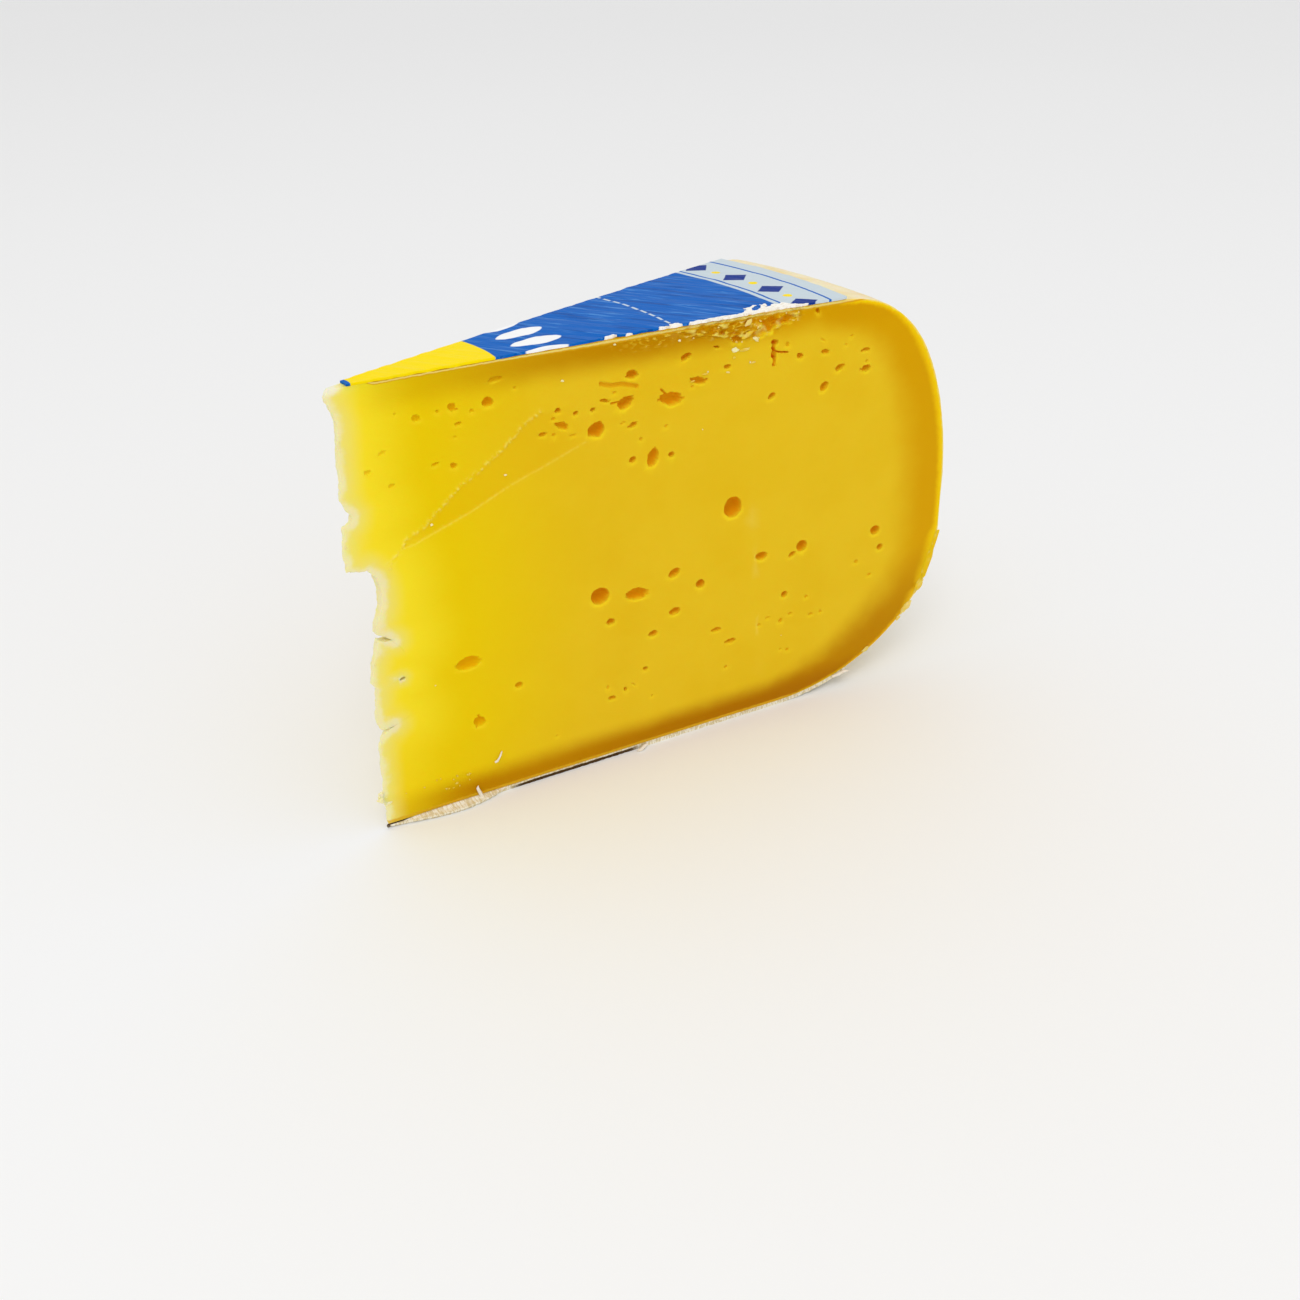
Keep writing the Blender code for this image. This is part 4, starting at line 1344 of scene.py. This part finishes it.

# %% [markdown]
# ## The cut paste
#
# The paste is a warm yellow that turns lemon and then cream towards the torn edge, where light shines
# through, and amber towards the top, the rind and the underside, where it has dried. Eyes are painted
# orange deep down, as painted shade and the light that bounces about in them, and the pale lip under each
# eye is a painted highlight. The distances kept on the points say how much of each.

# %% Material of the cut paste
PASTE = (229, 191, 32)
PASTE_DARKER = (225, 184, 22)
LEMON = (233, 202, 6)
LEMON_BRIGHT = (243, 222, 40)
CREAM = (234, 222, 120)
AMBER = (220, 166, 0)
DEEP_AMBER = (190, 132, 0)
BROWN_AMBER = (176, 112, 0)
PAINTED_EYE_SHADE = (236, 154, 2)
PAINTED_CRACK_SHADE = (206, 88, 0)
PAINTED_THIN_EYE_SHADE = (228, 180, 0)
LIP_HIGHLIGHT = (243, 212, 34)
CRUMB_PALE = (242, 222, 110)
COAT_YELLOW = (242, 206, 4)
COAT_LOW = (222, 172, 16)
COAT_PALE = (238, 212, 120)
FOOT_GOLD = (222, 170, 34)
COAT_GOLD = (214, 158, 20)
TIP_WHITE = (238, 232, 205)
TEAR_PALE = (236, 228, 186)
# Tones of the combed strands in the crumbled patch: the dark one is painted shade between strands, the
# palest a painted highlight on them.
STRAND_SHADE_AND_HIGHLIGHT = (
    (0.46, 0.34, 0.7, (204, 140, 0)),
    (0.50, 0.60, 0.8, (243, 208, 52)),
    (0.62, 0.70, 0.8, (250, 236, 160)),
)

paste, shader, place = new_material("cut_paste")
from_tear = kept("from_tear")
from_top = kept("from_top")
from_under = kept("from_under")
pit = kept("pit")
crumb = kept("crumb")
wander = (cloud(place, 9.0, 2.0) - 0.5) * 5.0
low_down = ease(from_under, 52.0, 14.0)
strand_cloud = cloud(mapped(place, (2.4, 1.0, 1.0), kind="TEXTURE"), 0.75)
frayed = from_tear + (cloud(place, 6.0, 4.0) - 0.5) * 5.0
ragged = (cloud(place, 1.4) - 0.5) * 0.9
coat_gap = (kept("from_end") + ragged) / kept("coat_width")
line_gap = (from_top + ragged * 0.45) * ease(from_tear, 25.0, 65.0, 1.7, 1.0)
line_gap = line_gap + ease(from_tear, 9.0, 5.0, 0.0, 2.0)
colour = layered(mottled(PASTE, PASTE_DARKER, place, 22.0, 0.6), [
    (ease(from_tear, 62.0, 8.0), LEMON),
    (ease(from_tear, 20.0, 3.0) * ease(from_under, 2.0, 38.0, 0.3, 1.0), LEMON_BRIGHT),
    (ease(kept("dried") + wander, 19.0, 5.5), blend(low_down, AMBER, DEEP_AMBER)),
    (ease(from_top + wander * 0.4, 9.5, 2.2) * (ease(from_tear, 2.0, 12.0) * ease(from_tear, -16.0, 74.0)),
     blend(ease(from_tear, 92.0, 116.0, 0.0, 0.65), DEEP_AMBER, AMBER)),
    (ease(from_under + wander * 0.3, 10.0, 2.8) * ease(from_tear, 2.0, 26.0, 0.3, 1.0),
     blend(ease(from_tear, 30.0, 110.0), DEEP_AMBER, BROWN_AMBER)),
    (kept("shade") * 0.22, AMBER),
    *[((crumb - pit) * share * ease(strand_cloud, low, high), tone) for low, high, share, tone in STRAND_SHADE_AND_HIGHLIGHT],
    # The pit tint is painted shade and bounce light, orange deep in eyes, cracks and crevices.
    (pit * 0.7, blend(ease(from_tear, 5.0, 32.0), PAINTED_THIN_EYE_SHADE, PAINTED_EYE_SHADE)),
    # Painted shade in the cracks: dark red where they go deep.
    (kept("cleft"), PAINTED_CRACK_SHADE),
    # A pale lip under each eye is a painted highlight.
    (kept("lip"), LIP_HIGHLIGHT),
    (kept("scuff"), CRUMB_PALE),
    (ease(from_tear, 6.5, -0.5), CREAM),
    (ease(frayed, 2.1, 0.2) * 0.75, TEAR_PALE),
    (ease(coat_gap, 1.9, 0.5), blend(low_down, COAT_YELLOW, COAT_LOW)),
    (ease(coat_gap, 0.5, 0.1) * 0.8, COAT_PALE),
    (ease(line_gap, 1.25, 0.9), COAT_GOLD),
    (ease(line_gap, 0.85, 0.6) * 0.85, COAT_PALE),
    (ease(line_gap, 0.3, 0.15), COAT_GOLD),
    (ease(frayed, 3.6, 1.0) * ease(from_top, 1.9, 0.4), TIP_WHITE),
    (ease(from_under + ragged * 0.5, 1.3, 0.7) * 0.85, FOOT_GOLD),
])
feed(shader, {
    "Base Color": colour,
    "Normal": grained(mapped(place, (1.0, 1.0, 3.0)), 1.8, 0.035, crumb * strand_cloud * 0.9),
    "Roughness": ease(cloud(place, 14.0), 0.3, 0.7, 0.40, 0.52) + crumb * 0.2,
    "Specular IOR Level": 0.08,
    "Specular Tint": (1.0, 0.65, 0.0, 1.0),
    **waxy(0.35, (1.0, 0.55, 0.12), 0.004),
})
print("the paste has", len(tree.nodes), "nodes")

# %% [markdown]
# ## The coated rind
#
# The wheel was brushed with a clear yellow coat that dries like wax. It is smoother than the paste, keeps
# a faint print of the cloth that the wheel was pressed in, and has small knocks and specks.

# %% Material of the rind
RIND = (241, 226, 178)
RIND_DARKER = (234, 202, 112)
RIND_SPECK = (246, 222, 150)
RIND_TORN_AND_SHADE = (222, 180, 90)

rind, shader, place = new_material("waxed_rind")
colour = layered(mottled(RIND, RIND_DARKER, place, 12.0, 0.75), [
    (ease(cloud(place, 1.6, 4.0, 0.7), 0.64, 0.72) * 0.5, RIND_SPECK),
    # Where the pit tint reaches the rind this darkening is painted shade; over the crumbled patch it is the
    # torn rind's colour.
    (calc("MAXIMUM", kept("pit"), kept("crumb")) * 0.6, RIND_TORN_AND_SHADE),
    (ease(kept("from_tear"), 6.0, 0.5) * 0.9, CREAM),
])
weave = {"Vector": place, "Scale": 150.0, "Distortion": 1.2, "Detail": 1.0}
threads_up, threads_round = [node("TexWave", "Fac", weave, bands_direction=way) for way in "ZY"]
feed(shader, {
    "Base Color": colour,
    "Normal": grained(place, 2.4, 0.10, threads_up * threads_round * 0.03),
    "Roughness": ease(cloud(place, 5.0), 0.3, 0.7, 0.28, 0.45),
    "Specular IOR Level": 0.45,
    **waxy(0.25, (1.0, 0.6, 0.15), 0.003),
})
print("the rind has", len(tree.nodes), "nodes")

# %% Give the body its two materials
cheese.data.materials.append(paste)
cheese.data.materials.append(rind)
middles = np.array([tuple(polygon.center) for polygon in cheese.data.polygons])
normals = np.array([tuple(polygon.normal) for polygon in cheese.data.polygons])
from_axis_x = middles[:, 0] / MM - AXIS_X
reach = np.hypot(from_axis_x, middles[:, 1] / MM)
facing_out = normals[:, 0] * from_axis_x / np.maximum(reach, 1.0) + np.abs(normals[:, 2])
gap_to_cut = np.minimum(-side_coordinates(middles, -1)[2], -side_coordinates(middles, 1)[2])
height = side_coordinates(middles, -1)[1]
under_crown = crown_height(np.minimum(reach, CROWN_RADIUS)) - height
at_surface = (to_line(reach, height, END_LINE) < 1.0) | (under_crown < 0.8) | (height < 0.5)
outside = (gap_to_cut > 0.12) & (reach > FOOT_RADIUS - 8.0) & (np.abs(facing_out) > 0.55) & at_surface
cheese.data.polygons.foreach_set("material_index", outside.astype(np.int32))
print("rind faces:", int(outside.sum()))

# %% [markdown]
# ## The printed paper's colours
#
# The print is rings round the wheel's axis: a yellow disc, a broad blue ring and a pale ring. A row of
# white petals, a thin dashed circle and a row of dark lozenges are laid over them. Distance and angle
# from the axis draw all of it. Torn places show bare white fibres.

# %% Rings and motifs of the print
YELLOW_REACH = 39.5
BLUE_REACH = 113.5
CENTRE_REACH = 6.9
BLUE_LINES = (115.2, 127.6)
YELLOW_INK = (250, 222, 0)
BLUE_INK = (6, 98, 188)
BLUE_CREASE_HIGHLIGHT = (96, 158, 220)
BLUE_CREASE_SHADE = (0, 74, 156)
PALE_INK = (199, 212, 219)
DARK_INK = (20, 52, 138)
WHITE_PAPER = (246, 246, 246)
BARE_PAPER = (250, 246, 238)
BARE_SHADE = (226, 212, 184)
GREY_WEAR = (120, 140, 160)

printed, shader, place = new_material("ring_print")
out_x = axis_of(place, "X") / MM - AXIS_X
out_y = axis_of(place, "Y") / MM
radius = calc("SQRT", out_x * out_x + out_y * out_y)
turn = calc("ARCTAN2", out_y, out_x)


def ring_of_spots(count, at, long, wide, offset=0.0):
    """Spots spread on a circle: how far across and along the nearest one a point is."""
    step = 2.0 * math.pi / count
    across = (calc("FRACT", turn / step + offset) - 0.5) * (step * at / wide)
    return calc("ABSOLUTE", across), calc("ABSOLUTE", (radius - at) / long)


def hard(value, edge):
    """One where a value is below one, nought above, with a crisp edge."""
    return ease(value, 1.0 + edge, 1.0 - edge)


petal_across, petal_along = ring_of_spots(44, 52.0, 6.5, 2.5)
dash_across, dash_along = ring_of_spots(150, 84.0, 0.35, 1.2)
lozenge_across, lozenge_along = ring_of_spots(54, 120.5, 4.2, 3.4)
dot_across, dot_along = ring_of_spots(54, 120.5, 1.2, 1.2, 0.5)
creased = mapped(place, (10.0, 1.0, 1.0), WRINKLE_TURN, "TEXTURE")
# The light and dark streaks on the blue follow the wrinkles: painted highlight and painted shade of the
# creases.
blue = layered(BLUE_INK, [
    (ease(cloud(creased, 1.2), 0.54, 0.68) * 0.5, BLUE_CREASE_HIGHLIGHT),
    (ease(cloud(creased, 1.9), 0.47, 0.34) * 0.8, BLUE_CREASE_SHADE),
])
inks = layered(YELLOW_INK, [
    (ease(radius, YELLOW_REACH - 0.15, YELLOW_REACH + 0.15), blue),
    (ease(radius, CENTRE_REACH, CENTRE_REACH - 0.2), BLUE_INK),
    (ease(radius, BLUE_REACH - 0.2, BLUE_REACH + 0.2), PALE_INK),
    (hard(petal_along ** 2.0 + petal_across ** 1.6, 0.08), WHITE_PAPER),
    (hard(calc("MAXIMUM", dash_across, dash_along), 0.2), PALE_INK),
    (hard(lozenge_across + lozenge_along, 0.05), DARK_INK),
    (hard(dot_along ** 2.0 + dot_across ** 2.0, 0.1), YELLOW_INK),
    *[(ease(calc("ABSOLUTE", radius - reach), 0.42, 0.3), BLUE_INK) for reach in BLUE_LINES],
])
bare = kept("bare")
fibre_place = mapped(place, (1.0, 3.2, 1.0), 0.5)
fibres = cloud(fibre_place, 1.3, 4.0, 0.7)
colour = blend(ease(bare + (fibres - 0.5) * 0.5, 0.42, 0.58), mottled(inks, GREY_WEAR, place, 18.0, 0.015),
               blend(ease(fibres, 0.3, 0.55), BARE_SHADE, BARE_PAPER))
feed(shader, {
    "Base Color": colour,
    "Normal": grained(fibre_place, 1.0, 0.012, cloud(creased, 3.0) * 0.45),
    "Roughness": ease(bare, 0.0, 1.0, 0.42, 0.85),
    "Specular Tint": colour,
    "Specular IOR Level": 0.03,
})
label.data.materials.append(printed)
print("the print has", len(tree.nodes), "nodes")

# %% [markdown]
# ## The plain papers and the crumbs
#
# A paper's cut edge shows its plies, and the backing is full of fibres that run across the wedge. Both are
# noise stretched along one way. A crumb is the paste's colour, paler where its points say so.

# %% Materials of the paper's edge, the backing, the shreds and the crumbs
EDGE_SHADE = (222, 198, 150)
EDGE_PAPER = (240, 228, 200)
EDGE_PLY = (168, 128, 66)
EDGE_YELLOW = (240, 196, 24)
FIBRE_SHADE = (218, 202, 158)
FIBRE_PAPER = (246, 241, 224)
STAIN = (206, 160, 70)
# The next colour is painted shadow for the gap under the cheese's edge.
PAINTED_GAP_SHADOW = (74, 50, 18)
SHRED_SHADE = (222, 206, 176)
SHRED_WHITE = (252, 248, 240)
CRUMB_GOLD = (232, 190, 20)
CRUMB_CREAM = (247, 235, 180)

paper_edge, shader, place = new_material("paper_edge")
colour = layered(blend(ease(cloud(place, 1.5), 0.38, 0.62), EDGE_SHADE, EDGE_PAPER), [
    (ease(calc("ABSOLUTE", kept("layer") - 0.45), 0.26, 0.14), EDGE_PLY),
    (ease(axis_of(place, "X"), (AXIS_X + 72.0) * MM, (AXIS_X + 56.0) * MM) * 0.85, EDGE_YELLOW),
])
feed(shader, {"Base Color": colour, "Roughness": 0.8})
label.data.materials.append(paper_edge)

fibre_paper, shader, place = new_material("fibre_paper")
combed = mapped(place, (3.0, 0.45, 0.8), -HALF_ANGLE)
colour = layered(blend(ease(cloud(combed, 1.5, 5.0, 0.7), 0.42, 0.58), FIBRE_SHADE, FIBRE_PAPER), [
    (ease(cloud(place, 8.0), 0.45, 0.75) * 0.1, STAIN),
    # Painted shadow for the gap under the cheese, where the points say so.
    (kept("painted_gap_shadow"), PAINTED_GAP_SHADOW),
])
feed(shader, {"Base Color": colour, "Normal": grained(combed, 0.8, 0.10), "Roughness": 0.85,
              "Specular IOR Level": 0.2})
backing.data.materials.append(fibre_paper)

white_shred, shader, place = new_material("white_shred")
feed(shader, {"Base Color": blend(cloud(place, 1.0, 4.0), SHRED_SHADE, SHRED_WHITE), "Roughness": 0.85})
shreds.data.materials.append(white_shred)

cheese_crumb, shader, place = new_material("cheese_crumb")
feed(shader, {
    "Base Color": blend(kept("pale") + (cloud(place, 1.6) - 0.5), CRUMB_GOLD, CRUMB_CREAM),
    "Normal": grained(place, 0.5, 0.06),
    "Roughness": 0.55,
    "Specular IOR Level": 0.15,
    "Specular Tint": (1.0, 0.7, 0.1, 1.0),
    **waxy(0.3, (1.0, 0.6, 0.2), 0.001),
})
crumbs.data.materials.append(cheese_crumb)
print("materials:", paper_edge.name, fibre_paper.name, white_shred.name, cheese_crumb.name)

# %% [markdown]
# ## Hang the pieces on the frame
#
# Every finished piece takes the place of its plain CAD node, or rides along with the body. The body is
# one object at the origin, unrotated and unscaled, so its coordinates are those of the model.

# %% Replace the plain nodes
for piece in (cheese, label, backing, crumbs, shreds):
    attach(piece, "root")
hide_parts("cheese")
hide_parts("top_label")
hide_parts("bottom_paper")
print("pieces in place")

# %% [markdown]
# ## Floor, light and camera
#
# The wedge stands on a pale plain floor in soft light from above and the front. The camera is where the
# photographer's was, found from the cut edges and the arcs of the print.

# %% Floor
FLOOR_SIZE = 6.0
floor = added(bpy.ops.mesh.primitive_plane_add, "studio_floor", size=FLOOR_SIZE)
floor_white, shader, place = new_material("floor_white")
feed(shader, {"Base Color": blend(cloud(place, 900.0, 1.0), (240, 240, 240), (242, 242, 242)),
              "Roughness": 0.9, "Specular IOR Level": 0.1})
floor.data.materials.append(floor_white)
print("floor", FLOOR_SIZE, "m wide")

# %% Lights
WORLD_LIGHT = 0.86
KEY_PLACE = Vector((-0.7, -0.9, 1.7))
KEY_TARGET = Vector((0.0, 0.0, 0.05))
KEY_SIZE = 0.9
KEY_POWER = 9.0

scene = bpy.context.scene
scene.view_settings.view_transform = "Standard"
scene.world = bpy.data.worlds.new("studio")
scene.world.use_nodes = True
background = scene.world.node_tree.nodes["Background"].inputs
background["Color"].default_value = (1.0, 1.0, 1.0, 1.0)
background["Strength"].default_value = WORLD_LIGHT
aim = (KEY_TARGET - KEY_PLACE).to_track_quat("-Z", "Y").to_euler()
key = added(bpy.ops.object.light_add, "key", type="AREA", location=KEY_PLACE, rotation=aim)
key.data.size = KEY_SIZE
key.data.energy = KEY_POWER
print("light:", key.name, "and a white world")

# %% Camera
CAMERA_PLACE = Vector((-180.7, -248.2, 210.0)) * MM
CAMERA_TURN = math.radians(36.16)
CAMERA_PITCH = math.radians(31.67)
CAMERA_ROLL = math.radians(-1.83)
LENS = 35.38
SENSOR_WIDTH = 36.0
NEAREST_SEEN = 0.01

level = Vector((math.cos(CAMERA_TURN), -math.sin(CAMERA_TURN), 0.0))
flat_share = math.cos(CAMERA_PITCH)
ahead = Vector((math.sin(CAMERA_TURN) * flat_share, math.cos(CAMERA_TURN) * flat_share,
                -math.sin(CAMERA_PITCH)))
upward = level.cross(ahead)
right = level * math.cos(CAMERA_ROLL) + upward * math.sin(CAMERA_ROLL)
top = upward * math.cos(CAMERA_ROLL) - level * math.sin(CAMERA_ROLL)
facing = Matrix((right, top, -ahead)).transposed().to_4x4()
bpy.ops.object.camera_add(location=CAMERA_PLACE, rotation=facing.to_euler())
camera = bpy.context.object
camera.name = "photo_camera"
camera.data.lens = LENS
camera.data.sensor_width = SENSOR_WIDTH
camera.data.clip_start = NEAREST_SEEN
scene.camera = camera
print("camera at", tuple(round(part, 3) for part in camera.location))
